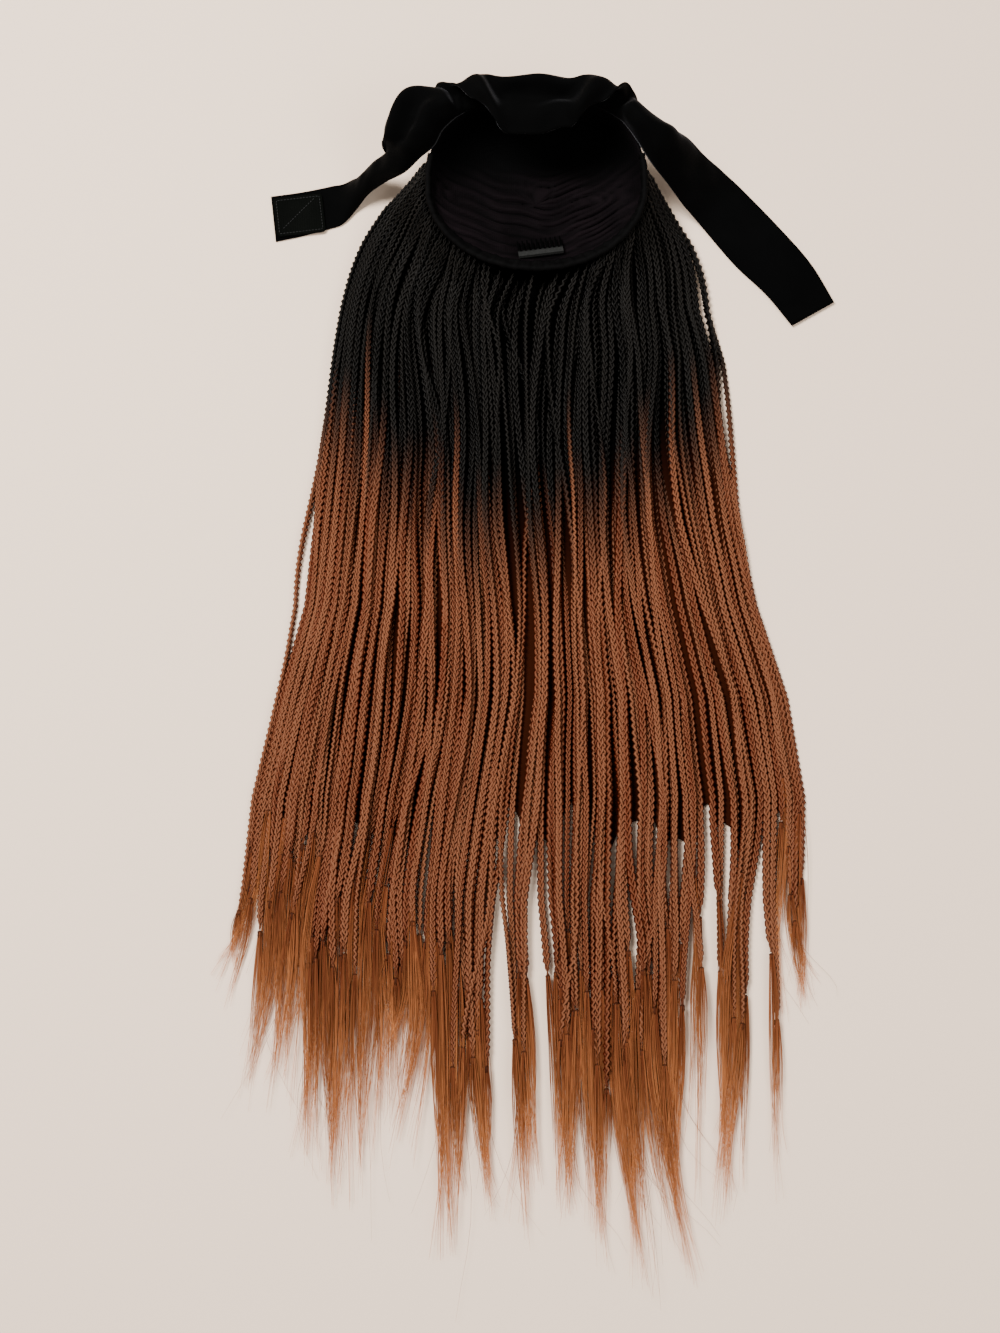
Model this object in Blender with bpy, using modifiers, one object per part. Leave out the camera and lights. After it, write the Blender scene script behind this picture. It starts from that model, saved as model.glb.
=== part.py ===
# Braid wig on a stretch headband, laid down with its cap open upwards.
# Metres, +Z up. +Y is the front of the cap, where the headband is sewn, and the plaits run towards -Y.
from collections import namedtuple
import math

import bmesh
import bpy
from mathutils import Euler, Vector
import numpy as np

# Cap
CAP_WIDTH = 0.158             # across the opening
CAP_FRONT_LENGTH = 0.061      # from the widest line of the opening to its front edge
CAP_NAPE_LENGTH = 0.056       # from the same line to the nape edge
RIM_HEIGHT = 0.048            # edge of the opening above the floor, at the sides
RIM_TILT = 0.014              # how much higher the front edge lies, and how much lower the nape
CAP_UNDERSIDE = 0.016         # lowest place of the cap above the floor
CAP_WALL = 0.0016
FRONT_SQUARENESS = 2.8        # 2 is an ellipse, more is squarer
CAP_SWELL = 0.05              # share by which the sides bag out below the edge
GATHER_HEIGHT = 0.0022
GATHER_PITCH = 0.0155
GATHER_SAG = 4.2              # how strongly the gathers curve, per metre

# Bound edge
BINDING_THICKNESS = 0.0011
BINDING_LEG = 0.0062          # at the nape
BINDING_SIDE_LEG = 0.0036     # at the sides

# Comb
COMB_LENGTH = 0.033
COMB_SPINE_DEPTH = 0.0046
COMB_THICKNESS = 0.0022
COMB_TOOTH_LENGTH = 0.0120
COMB_TEETH = 10
COMB_MARGIN = 0.0010          # between the spine and the bound edge
COMB_OFFSET = 0.0035          # towards +X
COMB_YAW = math.radians(7.5)
COMB_PITCH = math.radians(-24)

# Headband and its patches
BAND_WIDTH = 0.072            # at the front
BAND_THICKNESS = 0.0016
PANELS = (0.20, 0.16, 0.20, 0.22, 0.22)   # share of the width in each fold panel, seam to free edge
PATCH_LENGTH = 0.037
PATCH_WIDTH = 0.031
PATCH_THICKNESS = 0.0009
PATCH_END_MARGIN = 0.0015

# Plaits
FALL_LENGTH = 0.711           # from the nape edge to the longest tips
FAN_WIDTH = 0.411             # across the fan at its widest
PILE_HEIGHT = 0.024           # plaits heaped on each other below the nape
ROOT_CLEARANCE = 0.0014       # between the plaits' roots and the bound edge above them
COLLAR_SPREAD = 0.50          # how far the collar slopes out, as a share of the cap's size
EDGE_HEIGHT = 0.009
FRINGE_WIDTH = 0.406          # across the fan where the tassels start
TIP_WIDTH = 0.0030
TIP_HEIGHT = 0.0018
GROOVE = 0.55                 # height between two locks, as a share of their crowns

GAP = 0.0003                  # between neighbouring pieces
SEAM_LIFT = 0.0014            # headband's seam edge above the edge of the cap

# Fold of the headband where it is sewn on, a row per section from left to right: turn round the opening in
# degrees, share of BAND_WIDTH, then the slope of each panel in degrees, 0 outwards, 90 up and 180 inwards.
Fold = namedtuple("Fold", "turn width rise shoulder dip swell lip")
FOLDS = (
    Fold(158, 0.86, 72, 40, -45, 25, -70),
    Fold(145, 0.88, 68, 44, -38, 18, -75),
    Fold(133, 0.62, 68, 48, -5, -45, -80),
    Fold(127, 0.34, 55, 26, 0, 20, 60),
    Fold(121, 0.48, 38, 34, 62, 126, 180),
    Fold(112, 0.74, 28, 48, 116, 168, 212),
    Fold(101, 0.92, 28, 104, 218, 160, 205),
    Fold(90, 1.00, 30, 112, 225, 158, 202),
    Fold(80, 0.92, 24, 112, 226, 138, 203),
    Fold(68, 0.76, 30, 52, 118, 170, 212),
    Fold(57, 0.46, 40, 34, 64, 128, 180),
    Fold(50, 0.34, 52, 20, -10, -15, 0),
    Fold(42, 0.66, 78, 46, -42, -78, -86),
    Fold(28, 0.70, 78, 45, -25, -60, -72),
)

# Where each tail lies, a row per section away from the cap: the edge nearer the plaits as shares of the
# tail's reach and swing and of RIM_HEIGHT, the way across the tail in degrees, share of BAND_WIDTH, and the
# slope of each panel as above.
Lay = namedtuple("Lay", "reach swing lift facing width rise shoulder dip swell lip")
LEFT_REACH = 0.116            # from the side of the opening to the tail's end
LEFT_SWING = 0.049            # towards the nape
LEFT_TAIL = (
    Lay(0.05, 0.10, 1.03, 160, 0.68, 72, 42, -40, 8, -84),
    Lay(0.15, 0.23, 0.82, 132, 0.60, 76, 46, -25, -62, -84),
    Lay(0.28, 0.25, 0.52, 106, 0.50, 76, 50, -10, -64, -82),
    Lay(0.39, 0.31, 0.25, 94, 0.48, 74, 50, 0, -54, -76),
    Lay(0.475, 0.475, 0.05, 90, 0.47, 60, 34, 0, -34, -60),
    Lay(0.565, 0.71, 0.0, 90, 0.46, 24, 10, 0, -10, -24),
    Lay(0.65, 0.79, 0.0, 91, 0.465, 0, 0, 0, 0, 0),
    Lay(0.82, 0.905, 0.0, 94, 0.48, 0, 0, 0, 0, 0),
    Lay(1.0, 1.0, 0.0, 97, 0.50, 0, 0, 0, 0, 0),
)
RIGHT_REACH = 0.112
RIGHT_SWING = 0.116
RIGHT_TAIL = (
    Lay(0.04, 0.07, 1.03, 44, 0.62, 60, 30, 0, -40, -62),
    Lay(0.17, 0.16, 0.68, 52, 0.56, 40, 20, 0, -20, -36),
    Lay(0.285, 0.235, 0.32, 50, 0.57, 22, 12, 0, -12, -20),
    Lay(0.41, 0.325, 0.04, 46, 0.60, 9, 4, 0, -4, -9),
    Lay(0.63, 0.585, 0.0, 40, 0.63, 5, 2, 0, -2, -5),
    Lay(0.83, 0.785, 0.0, 34, 0.58, 0, 0, 0, 0, 0),
    Lay(1.0, 1.0, 0.0, 30, 0.51, 0, 0, 0, 0, 0),
)

# Plaits round the cap, a row per section from the front: shares of the cap's lengths, shares of half its
# width to each side, and the share of the collar's height there.
Collar = namedtuple("Collar", "fore left right height")
COLLAR = (
    Collar(1.19, -0.50, 0.50, 0.70),
    Collar(1.14, -0.66, 0.64, 0.96),
    Collar(1.02, -0.82, 0.80, 1.0),
    Collar(0.80, -1.02, 0.98, 1.0),
    Collar(0.55, -1.20, 1.12, 1.0),
    Collar(0.20, -1.49, 1.32, 1.0),
    Collar(-0.05, -1.71, 1.43, 1.0),
    Collar(-0.45, -1.79, 1.55, 1.0),
    Collar(-0.85, -1.84, 1.58, 1.0),
)

# The fan below the nape, a row per section: share of FALL_LENGTH, shares of FAN_WIDTH to each side of the
# cap's middle, and share of PILE_HEIGHT.
Fan = namedtuple("Fan", "down left right height")
FAN = (
    Fan(0.03, -0.364, 0.306, 1.00),
    Fan(0.086, -0.375, 0.329, 0.98),
    Fan(0.17, -0.389, 0.346, 0.90),
    Fan(0.26, -0.405, 0.366, 0.82),
    Fan(0.345, -0.420, 0.395, 0.74),
    Fan(0.44, -0.463, 0.447, 0.66),
    Fan(0.54, -0.503, 0.472, 0.57),
    Fan(0.64, -0.519, 0.464, 0.48),
)

# The fringe, a row per bunch from left to right: its edges as shares of FRINGE_WIDTH, how many locks,
# where it parts from the next bunch and where its own locks part and end as shares of FALL_LENGTH, and
# where its outer tips lie as shares of FRINGE_WIDTH.
Bunch = namedtuple("Bunch", "left right locks next_part part end tip_left tip_right")
FRINGE = (
    Bunch(0.000, 0.128, 4, 0.76, 0.70, 0.83, -0.035, 0.110),
    Bunch(0.128, 0.443, 8, 0.70, 0.78, 0.93, 0.145, 0.450),
    Bunch(0.490, 0.525, 1, 0.62, 0.78, 0.975, 0.487, 0.487),
    Bunch(0.557, 0.793, 7, 0.68, 0.82, 0.985, 0.550, 0.765),
    Bunch(0.800, 0.830, 1, 0.72, 0.80, 0.975, 0.790, 0.790),
    Bunch(0.855, 0.910, 2, 0.72, 0.80, 0.935, 0.828, 0.866),
    Bunch(0.925, 0.955, 1, 0.71, 0.80, 0.960, 0.918, 0.918),
    Bunch(0.965, 1.000, 1, 0.71, 0.75, 0.790, 1.000, 1.000),
)
FREE_ROWS = (0.20, 0.48, 0.78, 1.0)

# Mesh density
CAP_TURNS = 42
CAP_RINGS = 13
BAND_STEPS = 2                # between two fold sections
BAND_ACROSS = 12
BINDING_STEPS = 30
BINDING_TURNS = (-196, 16)    # degrees, left side round the nape to the right side


def smoothstep(low, high, value):
    share = np.clip((value - low) / (high - low), 0.0, 1.0)
    return share * share * (3.0 - 2.0 * share)


def through(rows, steps):
    """Smooth curve through rows of numbers, with a few steps between each two."""
    rows = np.asarray(rows, float)
    padded = np.vstack((2 * rows[0] - rows[1], rows, 2 * rows[-1] - rows[-2]))
    result = []
    for index in range(len(rows) - 1):
        before, start, end, after = padded[index:index + 4]
        for step in range(steps):
            t = step / steps
            result.append(0.5 * (2 * start + (end - before) * t
                                 + (2 * before - 5 * start + 4 * end - after) * t ** 2
                                 + (3 * start - before - 3 * end + after) * t ** 3))
    result.append(rows[-1])
    return np.array(result)


def rim_height(turn):
    return RIM_HEIGHT + RIM_TILT * math.sin(turn)


def rim_plan(turn):
    """Outline of the opening, seen from above, round the cap's middle."""
    across = math.cos(turn)
    along = math.sin(turn)
    power = 2.0 / FRONT_SQUARENESS if along > 0 else 1.0
    length = CAP_FRONT_LENGTH if along > 0 else CAP_NAPE_LENGTH
    return np.array((
        math.copysign(abs(across) ** power, across) * CAP_WIDTH / 2,
        math.copysign(abs(along) ** power, along) * length))


def rim_outwards(turn):
    """Unit vector out of the opening, seen from above."""
    step = math.radians(1.0)
    ahead = rim_plan(turn + step) - rim_plan(turn - step)
    outwards = np.array((ahead[1], -ahead[0]))
    return outwards / np.linalg.norm(outwards)


def comb_inset():
    """How far the teeth's roots lie from the nape edge."""
    return BINDING_LEG + COMB_MARGIN + COMB_SPINE_DEPTH + COMB_LENGTH / 2 * math.sin(COMB_YAW)


def gather(x, y, depth):
    """Height of the cloth's gathers, which curve across the nape half of the cap."""
    wave = 0.5 - 0.5 * math.cos(2 * math.pi * (y - GATHER_SAG * x * x) / GATHER_PITCH)
    nape_half = 1.0 - smoothstep(0.05, 0.40, y / CAP_FRONT_LENGTH)
    inside = smoothstep(0.22, 0.42, depth)
    comb_side = COMB_LENGTH / 2 + COMB_THICKNESS
    comb_tips = comb_inset() + COMB_TOOTH_LENGTH + COMB_THICKNESS - CAP_NAPE_LENGTH
    fade = GATHER_PITCH / 2
    off_comb = max(smoothstep(comb_side, comb_side + fade, abs(x - COMB_OFFSET)),
                   smoothstep(comb_tips, comb_tips + fade, y))
    return GATHER_HEIGHT * wave * nape_half * inside * off_comb


def cap_point(turn, depth, gathered=True):
    """Outer face of the cap: depth 0 at the edge of the opening, 1 at the lowest place."""
    angle = depth * math.pi / 2
    bag_reach = math.cos(angle) ** 0.5 * (1 + CAP_SWELL * math.sin(2 * angle))
    bag_drop = math.sin(angle)
    dish_reach = 1.0 - depth
    dish_drop = 1.0 - (1.0 - depth) ** 2
    nape = ((1.0 - math.sin(turn)) / 2) ** 2
    reach = (1 - nape) * bag_reach + nape * dish_reach
    drop = (1 - nape) * bag_drop + nape * dish_drop
    x, y = rim_plan(turn) * reach
    z = rim_height(turn) + (CAP_UNDERSIDE - rim_height(turn)) * drop
    if gathered:
        z += gather(x, y, depth)
    return np.array((x, y, z))


def cap_out_of(turn, depth, distance, gathered=False):
    """A point moved off the cap's outer face, outwards if distance is positive."""
    step = 0.01
    round_cap = cap_point(turn + step, depth, gathered) - cap_point(turn - step, depth, gathered)
    low = max(depth - step, 0.0)
    high = min(depth + step, 1.0 - 1e-6)
    down_cap = cap_point(turn, high, gathered) - cap_point(turn, low, gathered)
    outwards = np.cross(down_cap, round_cap)
    place = cap_point(turn, depth, gathered)
    from_opening = place - np.array((0.0, 0.0, rim_height(turn)))
    if outwards @ from_opening < 0:
        outwards = -outwards
    return place + outwards / np.linalg.norm(outwards) * distance


def cap_depths():
    return [ring / CAP_RINGS for ring in range(CAP_RINGS)]


def cap_turns():
    return [2 * math.pi * step / CAP_TURNS for step in range(CAP_TURNS)]


def make_material(name, colour, roughness):
    material = bpy.data.materials.new(name)
    material.use_nodes = True
    shader = material.node_tree.nodes["Principled BSDF"]
    shader.inputs["Base Color"].default_value = (*colour, 1.0)
    shader.inputs["Roughness"].default_value = roughness
    return material


def add_object(name, points, faces, material, collection):
    mesh = bpy.data.meshes.new(name)
    mesh.from_pydata([tuple(point) for point in points], [], faces)
    work = bmesh.new()
    work.from_mesh(mesh)
    bmesh.ops.recalc_face_normals(work, faces=work.faces)
    work.to_mesh(mesh)
    work.free()
    mesh.materials.append(material)
    part = bpy.data.objects.new(name, mesh)
    collection.objects.link(part)
    return part


def grid_faces(rows, columns, closed):
    """Quads of a grid of points, closed round its columns if wanted."""
    last = columns if closed else columns - 1
    return [(row * columns + column, row * columns + (column + 1) % columns,
             (row + 1) * columns + (column + 1) % columns, (row + 1) * columns + column)
            for row in range(rows - 1) for column in range(last)]


def add_thickness(part, thickness):
    shell = part.modifiers.new("Wall", "SOLIDIFY")
    shell.thickness = thickness
    shell.offset = 0.0


def make_cap(collection):
    """The stretch net cap, an open bowl."""
    points = [cap_point(turn, depth) for depth in cap_depths() for turn in cap_turns()]
    points.append(cap_point(0.0, 1.0))
    faces = grid_faces(CAP_RINGS, CAP_TURNS, True)
    last_ring = (CAP_RINGS - 1) * CAP_TURNS
    for column in range(CAP_TURNS):
        faces.append((last_ring + column, last_ring + (column + 1) % CAP_TURNS, len(points) - 1))
    cap = add_object("cap", points, faces, make_material("cap_net", (0.012, 0.010, 0.011), 0.85), collection)
    add_thickness(cap, CAP_WALL)
    return cap


def make_cap_space(collection):
    """The room that the cap and its opening take out of the plaits."""
    clear = CAP_WALL / 2 + GAP
    lid_height = RIM_HEIGHT + RIM_TILT + BAND_WIDTH
    points = []
    for turn in cap_turns():
        edge = cap_out_of(turn, 0.0, clear)
        points.append((edge[0], edge[1], lid_height))
    for depth in cap_depths():
        points.extend(cap_out_of(turn, depth, clear) for turn in cap_turns())
    points.append(cap_point(0.0, 1.0) - np.array((0.0, 0.0, clear)))
    points.append((0.0, 0.0, lid_height))
    faces = grid_faces(CAP_RINGS + 1, CAP_TURNS, True)
    last_ring = CAP_RINGS * CAP_TURNS
    for column in range(CAP_TURNS):
        beside = (column + 1) % CAP_TURNS
        faces.append((last_ring + column, last_ring + beside, len(points) - 2))
        faces.append((column, beside, len(points) - 1))
    space = add_object("cap_space", points, faces, make_material("guide", (0.5, 0.5, 0.5), 0.5), collection)
    space.hide_render = True
    space.display_type = "WIRE"
    return space


def binding_leg(turn):
    nape = smoothstep(0.0, 0.9, -math.sin(turn))
    return BINDING_SIDE_LEG + (BINDING_LEG - BINDING_SIDE_LEG) * nape


def make_edge_binding(collection):
    """A folded tape over the cap's edge, from one side round the nape to the other."""
    inner = CAP_WALL / 2 + 1.5 * GAP
    outer = inner + BINDING_THICKNESS
    points = []
    first, last = (math.radians(turn) for turn in BINDING_TURNS)
    for step in range(BINDING_STEPS + 1):
        turn = first + (last - first) * step / BINDING_STEPS
        slant = (cap_point(turn, 0.0, False) - cap_point(turn, 0.1, False)) / 0.1
        depth = binding_leg(turn) / np.linalg.norm(slant)
        beyond = slant / np.linalg.norm(slant)
        points.extend((
            cap_out_of(turn, depth, outer),
            cap_out_of(turn, 0.0, outer) + beyond * outer,
            cap_out_of(turn, 0.0, -outer) + beyond * outer,
            cap_out_of(turn, depth, -outer),
            cap_out_of(turn, depth, -inner),
            cap_out_of(turn, 0.0, -inner) + beyond * inner,
            cap_out_of(turn, 0.0, inner) + beyond * inner,
            cap_out_of(turn, depth, inner),
        ))
    faces = grid_faces(BINDING_STEPS + 1, 8, True)
    faces.append(tuple(range(8)))
    faces.append(tuple(range(BINDING_STEPS * 8, BINDING_STEPS * 8 + 8)))
    material = make_material("binding_tape", (0.02, 0.019, 0.02), 0.8)
    return add_object("edge_binding", points, faces, material, collection)


def tail_stations(rows, side, reach, swing, end_lift):
    """Seam edge, way across, width and slopes of each tail section."""
    stations = []
    for row in rows:
        x = side * (CAP_WIDTH / 2 + row.reach * reach)
        y = rim_plan(math.radians(20))[1] - row.swing * swing
        z = BAND_THICKNESS / 2 + row.lift * RIM_HEIGHT + end_lift * smoothstep(0.6, 0.8, row.reach)
        stations.append((x, y, z, row.facing, row.width * BAND_WIDTH,
                         row.rise, row.shoulder, row.dip, row.swell, row.lip))
    return stations


def band_stations():
    """All sections of the headband from the left tail's end to the right tail's."""
    stations = tail_stations(LEFT_TAIL, -1, LEFT_REACH, LEFT_SWING, 0.0)[::-1]
    for fold in FOLDS:
        turn = math.radians(fold.turn)
        x, y = rim_plan(turn)
        outwards = rim_outwards(turn)
        facing = math.degrees(math.atan2(outwards[1], outwards[0]))
        stations.append((x, y, rim_height(turn) + SEAM_LIFT, facing, fold.width * BAND_WIDTH,
                         fold.rise, fold.shoulder, fold.dip, fold.swell, fold.lip))
    stations += tail_stations(RIGHT_TAIL, 1, RIGHT_REACH, RIGHT_SWING, PATCH_THICKNESS + GAP)
    return stations


def band_section(station, across):
    """One section of the headband as a smooth line of points from its seam to its free edge."""
    x, y, z, facing, width = station[:5]
    out = np.array((math.cos(math.radians(facing)), math.sin(math.radians(facing))))
    rails = [np.array((x, y, z))]
    for share, slope in zip(PANELS, station[5:]):
        length = share * width
        flat = length * math.cos(math.radians(slope))
        rise = length * math.sin(math.radians(slope))
        rails.append(rails[-1] + np.array((out[0] * flat, out[1] * flat, rise)))
    fine = through(rails, 8)
    along = np.concatenate(((0.0,), np.cumsum(np.linalg.norm(np.diff(fine, axis=0), axis=1))))
    stops = np.linspace(0.0, along[-1], across + 1)
    return [np.array([np.interp(stop, along, fine[:, axis]) for axis in range(3)]) for stop in stops]


def make_headband(collection):
    """The stretch band, sewn to the front of the cap, with both tails."""
    stations = through(band_stations(), BAND_STEPS)
    points = []
    for station in stations:
        points.extend(band_section(station, BAND_ACROSS))
    floor = BAND_THICKNESS / 2
    points = [np.array((point[0], point[1], max(point[2], floor))) for point in points]
    faces = grid_faces(len(stations), BAND_ACROSS + 1, False)
    material = make_material("velvet_band", (0.008, 0.008, 0.009), 0.9)
    headband = add_object("headband", points, faces, material, collection)
    add_thickness(headband, BAND_THICKNESS)
    return headband


def make_patch(name, row, side, reach, swing, height, material, collection):
    """A fastening patch on the flat end of a tail."""
    x, y, _, facing, width = tail_stations((row,), side, reach, swing, 0.0)[0][:5]
    across = math.radians(facing)
    back = side * (PATCH_LENGTH / 2 + PATCH_END_MARGIN)
    centre = (
        x + math.cos(across) * width / 2 - math.sin(across) * back,
        y + math.sin(across) * width / 2 + math.cos(across) * back,
        height + PATCH_THICKNESS / 2)
    bpy.ops.mesh.primitive_cube_add(size=1.0, location=centre, rotation=(0.0, 0.0, across - math.pi / 2))
    patch = bpy.context.object
    patch.name = name
    patch.data.name = name
    patch.scale = (PATCH_LENGTH, PATCH_WIDTH, PATCH_THICKNESS)
    bpy.ops.object.transform_apply(location=False, rotation=False, scale=True)
    patch.data.materials.append(material)
    for owner in list(patch.users_collection):
        owner.objects.unlink(patch)
    collection.objects.link(patch)
    return patch


def nape_spots():
    """Closely spaced places on the nape half of the cap, for seating the comb."""
    turns = np.radians(np.arange(-150.0, -30.0, 1.5))
    depths = np.arange(0.0, 0.7, 0.01)
    return [cap_point(turn, depth) for turn in turns for depth in depths]


def make_comb(collection):
    """The small comb inside the nape: a spine whose lower side is extruded into teeth."""
    slots = 2 * COMB_TEETH - 1
    half = COMB_LENGTH / 2
    thin = COMB_THICKNESS / 2
    work = bmesh.new()
    columns = []
    for slot in range(slots + 1):
        x = -half + COMB_LENGTH * slot / slots
        columns.append([work.verts.new((x, y, z)) for y, z in
                        ((-COMB_SPINE_DEPTH, -thin), (0.0, -thin), (0.0, thin), (-COMB_SPINE_DEPTH, thin))])
    roots = []
    for slot in range(slots):
        here = columns[slot]
        there = columns[slot + 1]
        for side in range(4):
            corners = (here[side], here[(side + 1) % 4], there[(side + 1) % 4], there[side])
            face = work.faces.new(corners)
            if side == 1 and slot % 2 == 0:
                roots.append(face)
    work.faces.new(columns[0])
    work.faces.new(columns[-1])
    bmesh.ops.recalc_face_normals(work, faces=work.faces)
    for root in roots:
        made = bmesh.ops.extrude_discrete_faces(work, faces=[root])
        tip = made["faces"][0]
        middle = tip.calc_center_median()
        for corner in tip.verts:
            corner.co.x = middle.x + (corner.co.x - middle.x) * 0.55
            corner.co.z *= 0.4
            corner.co.y += COMB_TOOTH_LENGTH
    mesh = bpy.data.meshes.new("comb")
    work.to_mesh(mesh)
    work.free()
    mesh.materials.append(make_material("comb_plastic", (0.09, 0.09, 0.09), 0.45))
    comb = bpy.data.objects.new("comb", mesh)
    collection.objects.link(comb)
    turned = Euler((COMB_PITCH, 0.0, COMB_YAW)).to_matrix()
    middle = cap_point(-math.pi / 2, comb_inset() / CAP_NAPE_LENGTH)
    place = Vector((COMB_OFFSET, middle[1], middle[2]))
    seat = max(
        point.z for point in (turned.inverted() @ (Vector(spot) - place) for spot in nape_spots())
        if abs(point.x) < half + COMB_THICKNESS and -COMB_SPINE_DEPTH < point.y + COMB_THICKNESS
        and point.y < COMB_TOOTH_LENGTH + COMB_THICKNESS)
    lift = seat + CAP_WALL / 2 + GAP + COMB_THICKNESS / 2
    comb.location = place + turned @ Vector((0.0, 0.0, lift))
    comb.rotation_euler = (COMB_PITCH, 0.0, COMB_YAW)
    return comb


def lock_edges():
    """Where each lock of the fan meets the next, across the fringe, and the bunch that it belongs to."""
    edges = []
    owners = []
    for index, bunch in enumerate(FRINGE):
        left = bunch.left if index == 0 else (FRINGE[index - 1].right + bunch.left) / 2
        right = bunch.right if index == len(FRINGE) - 1 else (bunch.right + FRINGE[index + 1].left) / 2
        for lock in range(bunch.locks):
            edges.append(left + (right - left) * lock / bunch.locks)
            owners.append((bunch, lock))
    edges.append(FRINGE[-1].right)
    return edges, owners


def section_lines():
    """Every section of the plaits above the fringe: place, edges, collar share and pile share."""
    half = CAP_WIDTH / 2
    lines = []
    for row in COLLAR:
        length = CAP_FRONT_LENGTH if row.fore > 0 else CAP_NAPE_LENGTH
        lines.append((row.fore * length, row.left * half, row.right * half, row.height, FAN[0].height))
    for row in FAN:
        lines.append((-CAP_NAPE_LENGTH - row.down * FALL_LENGTH, row.left * FAN_WIDTH,
                      row.right * FAN_WIDTH, 1.0, row.height))
    return lines


def pile_height(x, y, across, collar_share, pile_share):
    """Height of the heaped plaits at one place; across runs from -1 to 1 over the fan."""
    length = CAP_FRONT_LENGTH if y > 0 else CAP_NAPE_LENGTH
    turn = math.atan2(y / length, x / (CAP_WIDTH / 2))
    away = math.hypot(x / (CAP_WIDTH / 2), y / length)
    slope = math.exp(-(max(away - 1.0, 0.0) / COLLAR_SPREAD) ** 2)
    root_height = rim_height(turn) - binding_leg(turn) - ROOT_CLEARANCE
    collar = (EDGE_HEIGHT + (root_height - EDGE_HEIGHT) * slope) * collar_share
    pile = PILE_HEIGHT * pile_share
    heaped = collar if y > 0 else min((collar ** 6 + pile ** 6) ** (1 / 6), root_height)
    return heaped * (1.0 - 0.72 * abs(across) ** 5)


def crown(lock, y):
    """How high one lock stands among its neighbours, which changes along it."""
    return 0.88 + 0.07 * math.sin(2.4 * lock + 1.0) + 0.05 * math.sin(1.9 * lock + y / FALL_LENGTH * 9.0)


def make_braids(cap_space, collection):
    """The plaits: locks fused to the layer that lies round and under the cap, parted at the fringe."""
    edges, owners = lock_edges()
    lines = section_lines()
    count = len(owners)
    fringe_middle = (FAN[-1].left + FAN[-1].right) / 2 * FAN_WIDTH
    points = []

    def add_point(x, y, z):
        points.append((x, y, z))
        return len(points) - 1

    def fringe_x(share):
        return fringe_middle + (share - 0.5) * FRINGE_WIDTH

    def part_line(boundary):
        if boundary == 0:
            part = FRINGE[0].part
        elif boundary == count:
            part = FRINGE[-1].part
        else:
            left = owners[boundary - 1][0]
            right = owners[boundary][0]
            part = left.part if left is right else left.next_part
        return -CAP_NAPE_LENGTH - part * FALL_LENGTH

    def height_at(x, y, across, collar_share, pile_share, lock, share):
        return pile_height(x, y, across, collar_share, pile_share) * share * crown(lock, y)

    rings = [[] for _ in range(count)]
    sections = lines + [None]
    for line in sections:
        borders = []
        for boundary in range(count + 1):
            across = 2 * edges[boundary] - 1
            if line is None:
                x = fringe_x(edges[boundary])
                y = part_line(boundary)
                shares = (1.0, FAN[-1].height * 0.85)
            else:
                y = line[0]
                x = line[1] + (line[2] - line[1]) * edges[boundary]
                shares = line[3:]
            outer = boundary in (0, count)
            groove = 0.35 if outer else GROOVE
            top = height_at(x, y, across, *shares, boundary, groove)
            borders.append((x, y, shares, add_point(x, y, top), add_point(x, y, 0.0)))
        for lock in range(count):
            left = borders[lock]
            right = borders[lock + 1]
            middles = []
            for part in (1 / 3, 2 / 3):
                x = left[0] + (right[0] - left[0]) * part
                y = left[1] + (right[1] - left[1]) * part
                across = 2 * (edges[lock] + (edges[lock + 1] - edges[lock]) * part) - 1
                middles.append(add_point(x, y, height_at(x, y, across, *left[2], lock, 1.0)))
            rings[lock].append((left[3], *middles, right[3], right[4], left[4]))
    for lock in range(count):
        bunch, place = owners[lock]
        spread = (place + 0.5) / bunch.locks
        tip_x = fringe_x(bunch.tip_left + (bunch.tip_right - bunch.tip_left) * spread)
        tip_y = -CAP_NAPE_LENGTH - FALL_LENGTH * bunch.end * (1.0 + 0.028 * math.sin(2.1 * lock + 0.7))
        last = rings[lock][-1]
        left = np.array(points[last[0]])
        right = np.array(points[last[3]])
        tops = [points[last[1]][2], points[last[2]][2]]
        own_left = fringe_x(max(edges[lock], bunch.left))
        own_right = fringe_x(min(edges[lock + 1], bunch.right))
        for share in FREE_ROWS:
            middle_x = (own_left + own_right) / 2 * (1 - share ** 1.3) + tip_x * share ** 1.3
            half = (own_right - own_left) / 2 * (1 - share) ** 0.8 * 0.95 + TIP_WIDTH / 2 * share
            ring = []
            for part in (0.0, 1 / 3, 2 / 3, 1.0):
                start_y = left[1] + (right[1] - left[1]) * part
                x = middle_x + (2 * part - 1) * half
                y = start_y + (tip_y - start_y) * share
                start_top = (left[2], *tops, right[2])[round(part * 3)]
                rounding = 0.6 if part in (0.0, 1.0) else 1.0
                top = start_top * (1 - share) + TIP_HEIGHT * rounding * share
                ring.append(add_point(x, y, top))
            ends = (points[ring[3]], points[ring[0]])
            ring.extend(add_point(end[0], end[1], 0.0) for end in ends)
            rings[lock].append(tuple(ring))

    faces = []
    for lock in range(count):
        for row in range(len(rings[lock]) - 1):
            here = rings[lock][row]
            there = rings[lock][row + 1]
            free = row >= len(sections) - 1
            for side in range(6):
                is_wall = side in (3, 5)
                outline = (side == 5 and lock == 0) or (side == 3 and lock == count - 1)
                if is_wall and not (free or outline):
                    continue
                beside = (side + 1) % 6
                faces.append((here[side], here[beside], there[beside], there[side]))
        faces.append(rings[lock][0])
        faces.append(rings[lock][-1])
    material = make_material("plaited_hair", (0.16, 0.06, 0.03), 0.55)
    braids = add_object("braids", points, faces, material, collection)
    cut = braids.modifiers.new("Room for the cap", "BOOLEAN")
    cut.operation = "DIFFERENCE"
    cut.solver = "EXACT"
    cut.object = cap_space
    return braids


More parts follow.
